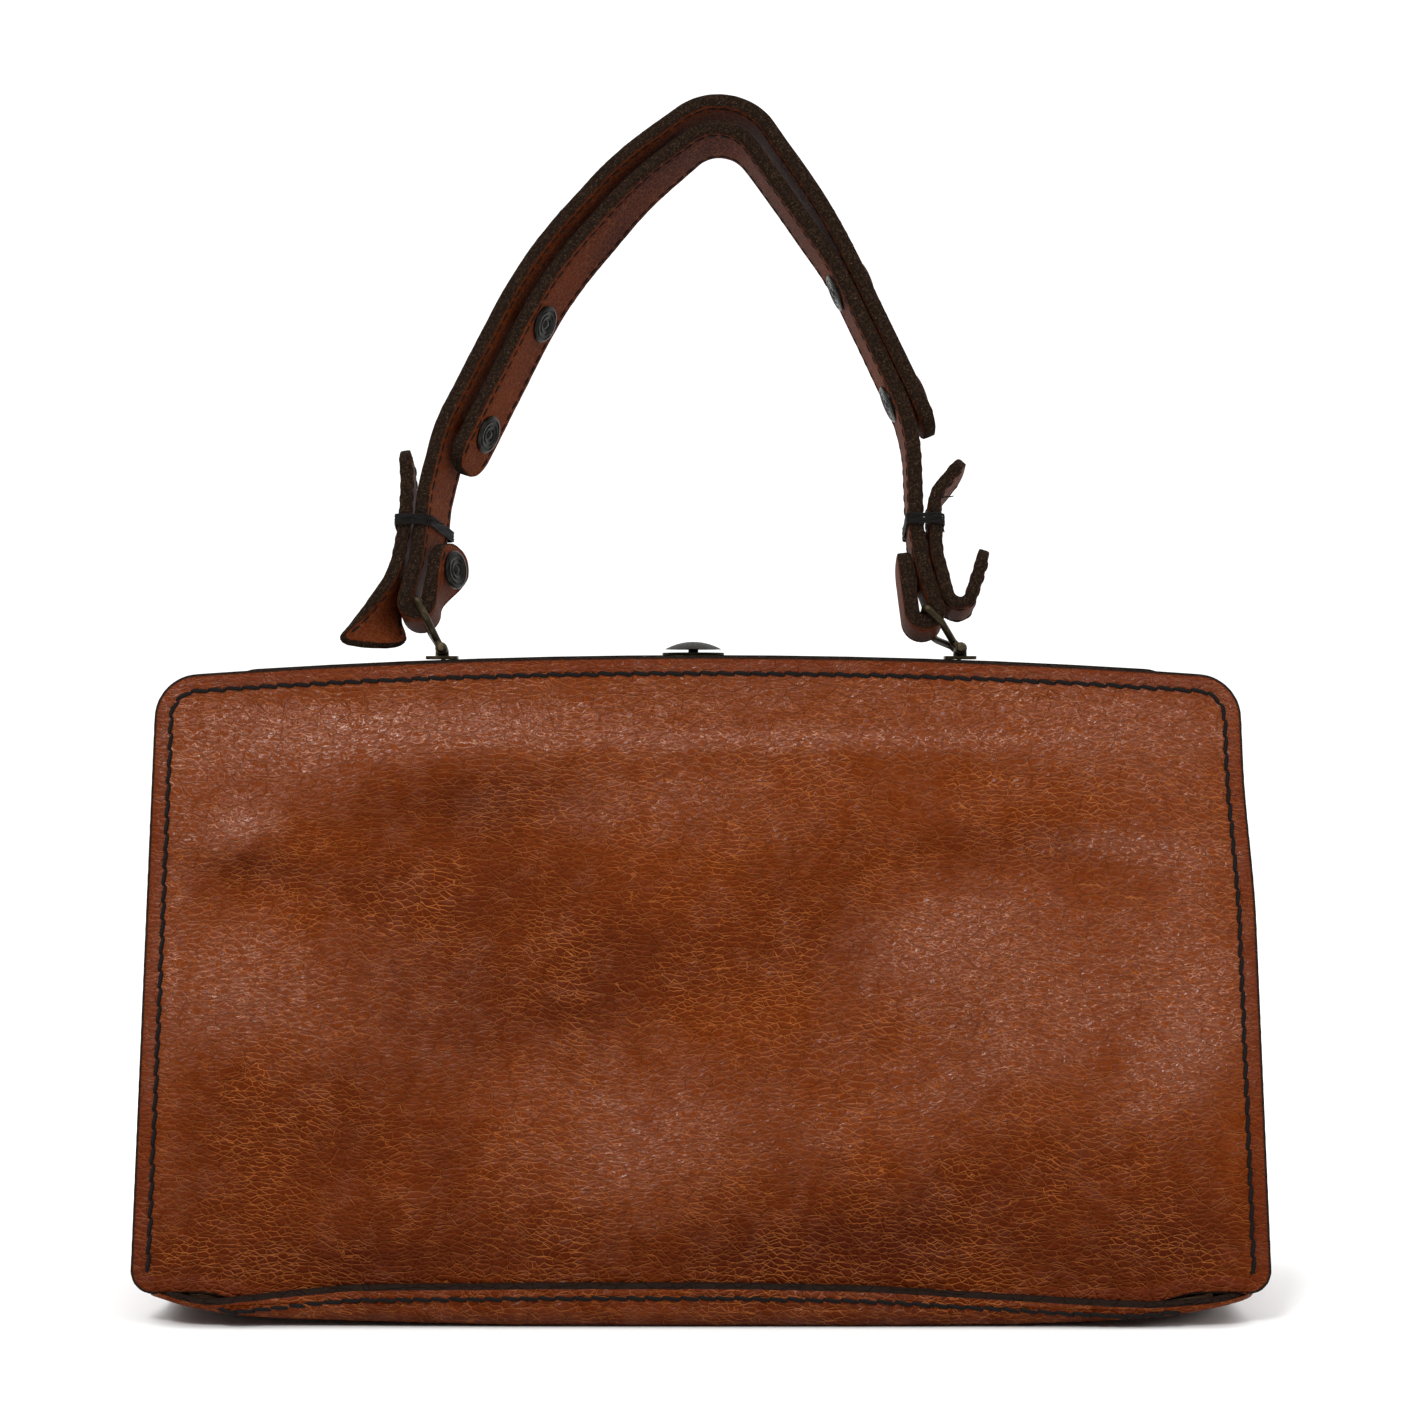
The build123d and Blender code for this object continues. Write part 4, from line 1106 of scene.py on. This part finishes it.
def buildLiningWall(name, side):
    heights = np.concatenate([np.linspace(liningSet["low"], 116, 30), np.linspace(118, liningSet["top"], 26)])
    rows = []
    for z in heights:
        reach = wallDepth(z) - panelSet["thickness"] - liningSet["panelGap"]
        reach = min(reach, lapDepth(z) - liningSet["lapGap"])
        if z > bodyHeight - liningSet["frameBand"]:
            reach = max(reach, liningSet["frameReach"])
        wide = halfWidth - gussetSet["inset"] - 3.2 - step(z, 116, 140) * 16.5
        x = np.linspace(-wide, wide, 90)
        y = np.full(len(x), side * reach)
        rows.append(np.stack([x, y, np.full(len(x), z)], axis=1))
    grid = np.array(rows)
    flat = grid.reshape(-1, 3)
    free = step(halfWidth - 18 - np.abs(flat[:, 0]), 0, 22)
    free = free * step(flat[:, 2], 8, 30) * step(liningSet["top"] - flat[:, 2], 0, 20)
    gathered = smoothNoise(flat * np.array([1.6, 0, 0.5]), 24, 9.0 + side, 2) + liningSet["folds"]
    gathered = np.clip(gathered, 0, liningSet["deepestFold"]) * free
    grid[:, :, 1] -= side * gathered.reshape(grid.shape[:2])
    marks = {"rim": np.full(grid.shape[:2], 9.0)}
    grid = lifted(grid, liningSet["low"], liningSet["top"], liningSet["footGap"])
    return sheetPiece(name, grid, liningSet["thickness"], cloth, marks, -1 if side > 0 else 1)


def buildLiningEnd(name, end, side):
    heights = np.linspace(liningSet["low"], liningSet["endTop"], 40)
    sheetX = halfWidth - gussetSet["inset"] - gussetSet["thickness"] - 1.2
    rows = []
    for z in heights:
        reach = wallDepth(z) - panelSet["thickness"] - liningSet["endPanelGap"]
        reach = min(reach, lapDepth(z) - liningSet["endLapGap"])
        deep = sheetX - foldAt(z) - 1.0
        t = np.linspace(0, 1, 26)
        x = deep + (sheetX - 1.0 - deep) * t
        rows.append(np.stack([end * x, side * reach * t, np.full(len(t), z)], axis=1))
    grid = np.array(rows)
    marks = {"rim": np.full(grid.shape[:2], 9.0)}
    grid = lifted(grid, liningSet["low"], liningSet["endTop"], liningSet["footGap"])
    return sheetPiece(name, grid, liningSet["thickness"], cloth, marks, 1 if end * side > 0 else -1)


def buildLiningFloor():
    x = np.linspace(-halfWidth + 22, halfWidth - 22, 60)
    y = np.linspace(-baseSet["halfDeep"] + 9.5, baseSet["halfDeep"] - 9.5, 30)
    gx, gy = np.meshgrid(x, y)
    rumple = smoothNoise(np.stack([gx.ravel(), gy.ravel(), gx.ravel() * 0], axis=1), 30, 4.0)
    gz = underHeight(gx, gy) + liningSet["floorGap"] + 0.2 * rumple.reshape(gx.shape)
    grid = np.stack([gx, gy, gz], axis=2)
    return sheetPiece("liningFloor", grid, liningSet["thickness"], cloth, {"rim": np.full(gx.shape, 9.0)}, 1)


liningFloor = buildLiningFloor()
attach(liningFloor, "root")
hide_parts("lining")
for side, face in ((-1, "Rear"), (1, "Front")):
    wall = buildLiningWall("lining" + face, side)
    bend(wall)
    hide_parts(face.lower() + "_lining_flex")
    for end, label in ((-1, "Left"), (1, "Right")):
        half = buildLiningEnd("lining" + face + label, end, side)
        bend(half)
print("ends and lining ready")

# facings from the panels to the frame

facingSet = {
    "thickness": 1.0, "low": 150.5, "outerInset": 1.2, "sideReach": 18.6, "topReach": 8.6,
    "frameGap": 10.6,
}


def buildFacing(name, side, outline, swells, seed):
    line = outline[outline[:, 1] > facingSet["low"]]
    line = evenly(fromLongestGap(line), 2.0)
    inward = inwardOf(line)
    upright = step(np.abs(inward[:, 0]), 0.3, 0.95)
    reach = facingSet["topReach"] + (facingSet["sideReach"] - facingSet["topReach"]) * upright
    rows = []
    for t in np.linspace(0, 1, 9):
        inset = facingSet["outerInset"] + t * (reach - facingSet["outerInset"])
        point = line + inward * inset[:, None]
        x, z = point[:, 0], point[:, 1]
        depth = panelSurface(x, z, np.maximum(inset, 2.0), swells, seed) - panelSet["thickness"] - 0.3
        depth = depth + (facingSet["frameGap"] - depth) * step(t, 0.0, 1.0)
        rows.append(np.stack([drifted(x, z), side * depth, z], axis=1))
    grid = np.array(rows)
    shape = grid.shape[:2]
    marks = {"rim": np.full(shape, 3.0), "glossAndPaintedSheen": np.full(shape, 0.1), "tone": np.full(shape, 0.8)}
    return sheetPiece(name, grid, facingSet["thickness"], pebbled, marks, 1 if side > 0 else -1)


for side, face, outline, swells, seed in (
    (-1, "rear", rearOutline, rearSwells, rearSeed), (1, "front", frontOutline, frontSwells, frontSeed),
):
    facing = buildFacing(face + "Facing", side, outline, swells, seed)
    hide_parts(face + "_facing")
    bend(facing)
for finish, nodes in (
    (bronze, ("rear_frame", "front_frame", "left_lug", "right_lug", "left_lug_pin", "right_lug_pin")),
    (bronze, ("left_loop", "right_loop")),
    (darkBronze, ("clasp_bezel", "clasp_button")),
    (satinSteel, ("hinge_pins", "hinge_washers", "clasp_housing", "clasp_latch", "clasp_keeper")),
):
    for node in nodes:
        dress(node, finish)

springSet = {"turns": 4.5, "wire": 0.55, "press": 1.02}


def buildSpring():
    wireHalf = springSet["wire"] / 2
    low, high = boxMm("clasp_spring")
    middle, radius, tall = (low + high) / 2, (high[0] - low[0]) / 2 - wireHalf, high[2] - low[2]
    turn = np.linspace(0, springSet["turns"] * 2 * math.pi, 160)
    rise = low[2] + wireHalf + (tall - 2 * wireHalf) * step(turn, 4, turn[-1] - 4)
    line = np.stack([middle[0] + radius * np.cos(turn), middle[1] + radius * np.sin(turn), rise], axis=1)
    points, faces = tube(line, wireHalf, 8)
    spring = makePiece("claspSpring", points, faces, satinSteel)
    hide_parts("clasp_spring")
    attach(spring, "front_jaw")
    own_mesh(spring)


buildSpring()
print("facings, frame and clasp ready")

# straps of the handle, drawn in the plane in which the handle hangs

pivot = jointPlace["left_ring_swing"]
farWay = np.array([j["axis"] for j in frame["joints"] if j["name"] == "left_ring_swing"][0], float)
nearWay = -farWay
upWay = np.array([0.0, -farWay[2], farWay[1]])
handleOrigin = np.array([0.0, pivot[1], pivot[2]])

strapSet = {
    "width": 18.6, "thickness": 4.4, "visible": 4.8, "wire": 1.15, "lug": -pivot[0], "loop": 16.2,
    "leftLean": 28, "rightLean": 45, "leftClear": 0.45, "rightClear": 0.75, "tab": 21.0,
    # the two straps' middle lines, across and up from between the lugs, from loop to tip
    "outer": [(-90.2, 27.5), (-88.6, 50), (-83.8, 72.6), (-57, 130), (-28, 165), (10.2, 194.6),
              (42, 145.5), (74, 72)],
    "outerRadii": [30, 60, 60, 150, 110, 20, 200],
    "inner": [(70.3, 25), (68.2, 38), (67.6, 73.2), (44.5, 126.5), (8.2, 182.3), (-22, 158.7),
              (-49.8, 125.6), (-80, 60.5)],
    "innerRadii": [30, 40, 60, 120, 14, 100, 150],
    "outerAngles": (77, 86), "innerAngles": (107, 96),
    "lean": 20.0, "tabLean": 28.0,
    "tabTip": 8.0, "armTip": 9.0, "tipFullness": 2.2,
    "seam": 2.5, "pitch": 4.4, "stitch": 0.75, "seamFrom": 21,
    "snapBack": 15.0, "snapPitch": 42.0, "leftSpread": 8.4, "rightSpread": 5.4, "ringSnap": 12.5,
}


def inHandle(u, v, near=0.0):
    u, v, near = np.broadcast_arrays(np.asarray(u, float), np.asarray(v, float), np.asarray(near, float))
    along = np.zeros(u.shape + (3,))
    along[..., 0] = u
    return handleOrigin + along + v[..., None] * upWay + near[..., None] * nearWay


def away(point, distance, angle):
    turn = math.radians(angle)
    return np.array(point) + distance * np.array([math.cos(turn), math.sin(turn)])


def loopBar(side):
    # where the wire loop's far bar is, with the loop leaning from its lug
    lean = strapSet["leftLean"] if side < 0 else strapSet["rightLean"]
    return away((side * strapSet["lug"], 0), strapSet["loop"], 90 + lean)


def strapRun(side, armAngle, tabAngle, corners, radii):
    clear = strapSet["leftClear"] if side < 0 else strapSet["rightClear"]
    bar = loopBar(side)
    fold = strapSet["wire"] + clear + strapSet["thickness"] / 2
    armStart = away(bar, fold, armAngle - side * 90)
    tabStart = away(bar, fold, tabAngle + side * 90)
    turn = np.linspace(tabAngle + side * 90, armAngle + side * 270, 26)
    bendRun = [away(bar, fold, a) for a in turn]
    tab = [away(tabStart, strapSet["tab"] * t, tabAngle) for t in np.linspace(1, 0, 24)]
    arm = roundedRun([armStart, *corners], radii, 0.9)
    return evenly(np.array([*tab, *bendRun[1:-1], *arm]), 0.9)


def section(width, thickness):
    # a padded band with a groove along each seam and worn, nearly flat edges
    half, t = width / 2, thickness / 2
    flat = [half - 1.3, half - 1.9, half - 2.5, half - 3.1, half - 4.4, half - 7.0, 0.0]
    sink = [0.0, -0.04, -0.28, -0.04, 0.02, 0.04, 0.05]
    right = [(a, t + s) for a, s in zip(flat, sink)]
    top = right + [(-a, b) for a, b in right[-2::-1]]
    edge = []
    for p in np.radians(np.linspace(78, -78, 9)):
        dent = 1 - 0.2 * math.exp(-((p / 0.22) ** 2))
        edge.append((1.25 * math.cos(p) * dent + half - 1.3, t * math.sin(p)))
    under = [(a, -b) for a, b in top]
    left = [(-a, b) for a, b in edge[::-1]]
    return np.array(top + left + under[::-1] + edge[::-1])


def endShape(distance, radius):
    if not radius:
        return np.ones(len(distance))
    full = strapSet["tipFullness"]
    t = np.clip(1 - distance / radius, 0, 1)
    return (1 - t**full) ** (1 / full)


def tipped(lengths, tips):
    return endShape(lengths, tips[0]) * endShape(lengths[-1] - lengths, tips[1])


def sweepBand(name, path, thickness, tone, seed, tips, wear=1.0, grow=None):
    # path is the middle line with its way out of the band and its way across it
    centre, normal, across = path
    width = strapSet["width"]
    shape = section(width, thickness)
    lengths = runLengths(centre)
    share = np.maximum(tipped(lengths, tips), 0.16)
    wider = np.ones(len(centre)) if grow is None else grow
    rings, rim, under = [], [], []
    for k, (point, out, over) in enumerate(zip(centre, normal, across)):
        a = shape[:, 0] * share[k] * wider[k]
        b = shape[:, 1] * (0.55 + 0.45 * share[k])
        rings.append(point + a[:, None] * over + b[:, None] * out)
        sideRim = np.minimum((width / 2 - np.abs(shape[:, 0])) * max(share[k], 0.3), 9)
        endRim = min(lengths[k], lengths[-1] - lengths[k]) + 0.2
        rim.append(np.minimum(sideRim, endRim))
        under.append((b < 0).astype(float))
    points, rim = np.concatenate(rings), np.concatenate(rim)
    # ragged edges and a slightly uneven face
    jitter = smoothNoise(points, 3.2, seed, 2) * 0.26 * wear * np.clip(1.6 - rim, 0, 1)
    outward = np.concatenate([np.sign(shape[:, 0])[:, None] * over for over in across])
    points = points + outward * jitter[:, None]
    rise = np.repeat(np.asarray(normal), len(shape), axis=0)
    points = points + rise * (smoothNoise(points, 14, seed + 3) * 0.16 * wear)[:, None]
    tone = np.repeat(np.broadcast_to(tone, (len(centre),)), len(shape))
    marks = {"rim": rim, "under": np.concatenate(under), "tone": tone}
    return makePiece(name, points, ringFaces(len(centre), len(shape)), strapSkin, marks, sharp=70)


def bandSeams(path, thickness, tips, gapEnds=3.0):
    centre, normal, across = path
    lengths = runLengths(centre)
    aside = np.maximum(strapSet["width"] / 2 * tipped(lengths, tips) - strapSet["seam"], 0)
    keep = (lengths > gapEnds) & (lengths < lengths[-1] - gapEnds)
    parts = []
    for face in (-1, 1):
        for row in (-1, 1):
            out = face * normal[keep]
            line = centre[keep] + row * aside[keep][:, None] * across[keep] + (thickness / 2 - 0.12) * out
            sideways = np.cross(headings(line), out)
            parts += stitches(line, out, sideways, strapSet["pitch"], strapSet["stitch"], 0.16, 0.34, 0.78, 5)
    return parts


def planarBand(run, lean=None):
    # lean turns the band about its near edge, in degrees along the run
    centre = inHandle(run[:, 0], run[:, 1])
    forward = headings(run)
    normal = inHandle(-forward[:, 1], forward[:, 0]) - handleOrigin
    across = np.tile(nearWay, (len(run), 1))
    if lean is None:
        return centre, normal, across
    turn = np.radians(lean)[:, None]
    turned = across * np.cos(turn) - normal * np.sin(turn)
    half = strapSet["width"] / 2
    return centre + (across - turned) * half, normal * np.cos(turn) + across * np.sin(turn), turned


def armLean(run):
    return strapSet["lean"] * step(run[:, 1], 20, 42) * step(-run[:, 0], -25, 45)


def outerLean(run):
    lengths = runLengths(run)
    tab = strapSet["tabLean"] * step(strapSet["tab"] - lengths, 1, 13)
    return np.where(lengths < strapSet["tab"], tab, -armLean(run))


outerRun = strapRun(-1, *strapSet["outerAngles"], strapSet["outer"], strapSet["outerRadii"])
innerRun = strapRun(1, *strapSet["innerAngles"], strapSet["inner"], strapSet["innerRadii"])
tabTip, armTip = strapSet["tabTip"], strapSet["armTip"]
seamParts = []
straps = []
for name, run, lean, nodes, seed, outSide, topPlum in (
    ("outerStrap", outerRun, outerLean(outerRun), ("outer_strap_face", "outer_strap_back"), 1.0, 1, 0.2),
    ("innerStrap", innerRun, armLean(innerRun), ("inner_strap_face", "inner_strap_back"), 6.0, -1, 0.62),
):
    centre, normal, across = planarBand(run, lean)
    plum = 0.12 + topPlum * step(run[:, 1], 95, 165)
    path = (centre, normal * outSide, across)
    piece = sweepBand(name, path, strapSet["visible"], plum, seed, (tabTip, armTip))
    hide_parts(*nodes)
    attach(piece, "handle")
    # the seams stop short of the bend round the wire loop
    clear = np.flatnonzero(run[:, 1] > strapSet["seamFrom"])
    first, second = np.split(clear, [int(np.argmax(np.diff(clear) > 1)) + 1])
    for part, tips in ((first, (tabTip, 0)), (second, (0, armTip))):
        seamParts += bandSeams((centre[part], normal[part], across[part]), strapSet["visible"], tips)
    straps.append((centre, normal, runLengths(run)))
print("straps ready")

# snap caps

capSet = {
    "lift": 0.2,
    "post": 3.1,
    # the ringed face from its middle to its rim: radius, height
    "rings": [
        (0.02, 1.25), (0.7, 1.2), (1.15, 0.9), (1.5, 0.62), (1.9, 0.62), (2.25, 0.95), (2.7, 0.98),
        (3.05, 0.66), (3.4, 0.64), (3.75, 0.94), (4.25, 0.96), (4.6, 0.62), (4.9, 0.6), (5.25, 0.9),
        (5.8, 0.82), (6.1, 0.5), (6.1, 0.0),
    ],
}


def capPart(centre, out):
    out = out / np.linalg.norm(out)
    a = np.cross(out, nearWay + 0.01)
    a /= np.linalg.norm(a)
    b = np.cross(out, a)
    angles = np.linspace(0, 2 * math.pi, 40, endpoint=False)
    circle = np.cos(angles)[:, None] * a + np.sin(angles)[:, None] * b
    rings = [centre + out * height + radius * circle for radius, height in capSet["rings"]]
    return np.concatenate(rings), ringFaces(len(rings), 40)


def strapAt(strap, distance):
    centre, normal, lengths = strap
    at = distance if distance >= 0 else lengths[-1] + distance
    point, out = sampled([at], lengths, centre)[0], sampled([at], lengths, normal)[0]
    return point, out / np.linalg.norm(out)


def barrel(start, end, radius):
    line = np.array([start + (end - start) * t for t in (0.0, 0.3, 0.7, 1.0)])
    return tube(line, np.array([radius, radius * 0.82, radius * 0.82, radius]), 20)


ply = strapSet["visible"] / 2
caps = {"inner": [], "outer": [], "ring": []}
posts = []
outer, inner = straps
for back in (strapSet["snapBack"], strapSet["snapBack"] + strapSet["snapPitch"]):
    for strap, spread, own, other in (
        (inner, strapSet["leftSpread"], "inner", "outer"), (outer, strapSet["rightSpread"], "outer", "inner"),
    ):
        point, out = strapAt(strap, -back)
        caps[own].append((point + out * (ply + capSet["lift"]), out))
        caps[other].append((point - out * (spread + ply + capSet["lift"]), -out))
        posts.append(barrel(point - out * (ply - 0.4), point - out * (spread - ply + 0.4), capSet["post"]))
for strap in straps:
    point, out = strapAt(strap, strapSet["tab"] - strapSet["ringSnap"])
    caps["ring"].append((point + out * (ply + capSet["lift"]), out))
for label, places in caps.items():
    points, faces = joinParts([capPart(place, out) for place, out in places])
    capPiece = makePiece(label + "SnapCaps", points, faces, gunMetal, sharp=40)
    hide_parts(label + "_snap_caps")
    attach(capPiece, "handle")
points, faces = joinParts(posts)
snapPosts = makePiece("snapPosts", points, faces, gunMetal, sharp=40)
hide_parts("snap_sockets", "snap_studs")
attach(snapPosts, "handle")
print("snap caps ready")

# outer tabs, each a short band tied over the strap's end

tabSet = {
    "thickness": 3.9,
    "leftLine": -93.9,
    "rightLine": 74.3,
    # near edge of the left tab from its tip: flare, height, twist
    "left": [(0.7, 66, 0), (-0.4, 54, 0), (0, 40, 0), (2.1, 27.6, 2), (4.6, 21, 7), (8.4, 15.7, 16),
             (13.0, 9.7, 34), (18.4, 3.7, 60), (21.8, 0.1, 74)],
    "right": [(9.7, 61.8), (0, 50), (0, 32), (7.1, 1.9), (15.9, 32.5)],
    "rightRadii": [12, 30, 3.9],
    "leftTips": (7.0, 4.5), "rightTips": (5.0, 5.0),
    "leftTone": 0.25, "rightTone": 0.45,
    "leftWear": 1.4, "rightWear": 2.4,
    "footGrow": 0.2,    # how much wider the left tab's foot gets
    "seamGap": 2.6,
}


def buildLeftTab():
    table = np.array([(tabSet["leftLine"] - f, v, t) for f, v, t in tabSet["left"]], float)
    lengths = runLengths(table[:, :2])
    fine = sampled(np.linspace(0, lengths[-1], 84), lengths, table)
    kernel = np.exp(-np.linspace(-1.8, 1.8, 9) ** 2)
    kernel /= kernel.sum()
    for k in range(3):
        row = fine[:, k]
        padded = np.concatenate([2 * row[0] - row[4:0:-1], row, 2 * row[-1] - row[-2:-6:-1]])
        fine[:, k] = np.convolve(padded, kernel, "valid")
    width = strapSet["width"]
    turn = np.radians(fine[:, 2])
    across = np.sin(turn)[:, None] * np.array([1.0, 0, 0]) + np.cos(turn)[:, None] * farWay
    edge = inHandle(fine[:, 0], fine[:, 1], width / 2)
    centre = edge + across * (width / 2)
    down = np.gradient(centre, axis=0)
    down -= across * (down * across).sum(1)[:, None]
    down /= np.linalg.norm(down, axis=1)[:, None]
    normal = np.cross(down, across)
    normal *= -np.sign(normal[:, 0].mean())
    grow = 1 + tabSet["footGrow"] * step(-fine[:, 1], -14, 0)
    centre = centre + across * (width / 2 * (grow - 1))[:, None]
    thick, tips = tabSet["thickness"], tabSet["leftTips"]
    piece = sweepBand("leftOuterTab", (centre, normal, across), thick, tabSet["leftTone"], 12.0, tips,
                      tabSet["leftWear"], grow)
    return piece, bandSeams((centre, normal, across * grow[:, None]), thick, tips, tabSet["seamGap"])


def buildRightTab():
    corners = [(tabSet["rightLine"] + f, v) for f, v in tabSet["right"]]
    run = roundedRun(corners, tabSet["rightRadii"], 0.8)
    centre, normal, across = planarBand(run)
    uneven = smoothNoise(np.stack([run[:, 0], run[:, 1], run[:, 0] * 0], axis=1), 9, 21.0) * 0.5
    centre = centre + normal * (uneven * step(np.linspace(0, 1, len(run)), 0.0, 0.2))[:, None]
    path, thick, tips = (centre, normal, across), tabSet["thickness"], tabSet["rightTips"]
    piece = sweepBand("rightOuterTab", path, thick, tabSet["rightTone"], 17.0, tips, tabSet["rightWear"])
    return piece, bandSeams(path, thick, tips, tabSet["seamGap"])


leftTab, leftParts = buildLeftTab()
rightTab, rightParts = buildRightTab()
seamParts += leftParts + rightParts
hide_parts("left_outer_tab")
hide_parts("right_outer_tab")
for piece in (leftTab, rightTab):
    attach(piece, "handle")
points, faces = joinParts(seamParts)
strapSeams = makePiece("strapStitching", points, faces, thread, sharp=80)
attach(strapSeams, "handle")
print("tabs ready")

# whipping round each strap and tab, and its loose thread

whipSet = {
    "thread": 0.5, "turns": 8, "height": 3.9, "corner": 1.2, "looseThread": 0.27,
    # loose ends: across, up, out past the strap's near edge, angle, length, and where its wander starts
    "left": [(-95.0, 41.5, 0.7, -28, 11, 0.4), (-90.0, 44.2, 0.7, -52, 9, 1.2),
             (-93.0, 39.2, 0.7, 22, 9, 2.2), (-86.6, 42.5, -2.0, -10, 6, 3.0)],
    "right": [(66.0, 42.0, 0.7, -20, 10, 1.0), (73.0, 44.0, 0.6, -62, 9, 2.0),
              (76.6, 48.0, -0.5, 35, 4, 4.0)],
}


def whipPart(node):
    low, high = boxMm(node)
    cord = np.array([v.co for v in frame["nodes"][node].data.vertices], float) / mm - handleOrigin
    base, reach = (cord @ upWay).min(), (cord @ nearWay).max()
    half = whipSet["thread"] / 2
    a, b, r = (high[0] - low[0]) / 2 - half, reach - half, whipSet["corner"]
    middle = (low[0] + high[0]) / 2
    loop = []
    for sx, sy, start in ((-1, -1, 180), (1, -1, 270), (1, 1, 0), (-1, 1, 90)):
        for t in np.radians(np.linspace(start, start + 90, 6)):
            loop.append((sx * (a - r) + r * math.cos(t), sy * (b - r) + r * math.sin(t)))
    loop = evenly(np.array(loop + [loop[0]]), 1.2)[:-1]
    # the left strap leans here, so the turns shear with it
    shear = math.sin(math.radians(strapSet["lean"])) * 0.92 if middle < 0 else 0.0
    count = len(loop) * whipSet["turns"]
    path = []
    for k in range(count):
        x, near = loop[k % len(loop)]
        x += shear * (b - near) * step(x, -a * 0.1, a)
        rise = base + half + (whipSet["height"] - 2 * half) * k / count
        slip = 0.12 * math.sin(k * 0.9) + 0.1 * math.sin(k * 0.23)
        path.append(inHandle(middle + x * (1 + 0.01 * math.sin(k * 0.7)), rise + slip, near))
    return tube(np.array(path), half * 1.12, 6)


def looseEnd(u, v, out, angle, length, phase):
    pace = 0.6
    point, heading = np.array([u, v, strapSet["width"] / 2 + out]), math.radians(angle)
    path = [point]
    for k in range(int(length / pace)):
        heading += 0.22 * math.sin(k * 0.7 + phase) + 0.1 * math.cos(k * 1.9 + phase)
        way = np.array([math.cos(heading), math.sin(heading), 0.12 * math.sin(k * 0.5 + phase)])
        point = point + way * pace
        path.append(point)
    path = np.array(path)
    radius = whipSet["looseThread"] * np.linspace(1, 0.65, len(path))
    return tube(inHandle(path[:, 0], path[:, 1], path[:, 2]), radius, 6)


for side in ("left", "right"):
    node = side + "_whipping"
    points, faces = joinParts([whipPart(node), *[looseEnd(*end) for end in whipSet[side]]])
    piece = makePiece(side + "Whipping", points, faces, thread, sharp=80)
    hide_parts(node)
    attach(piece, "handle")
print("whipping ready")
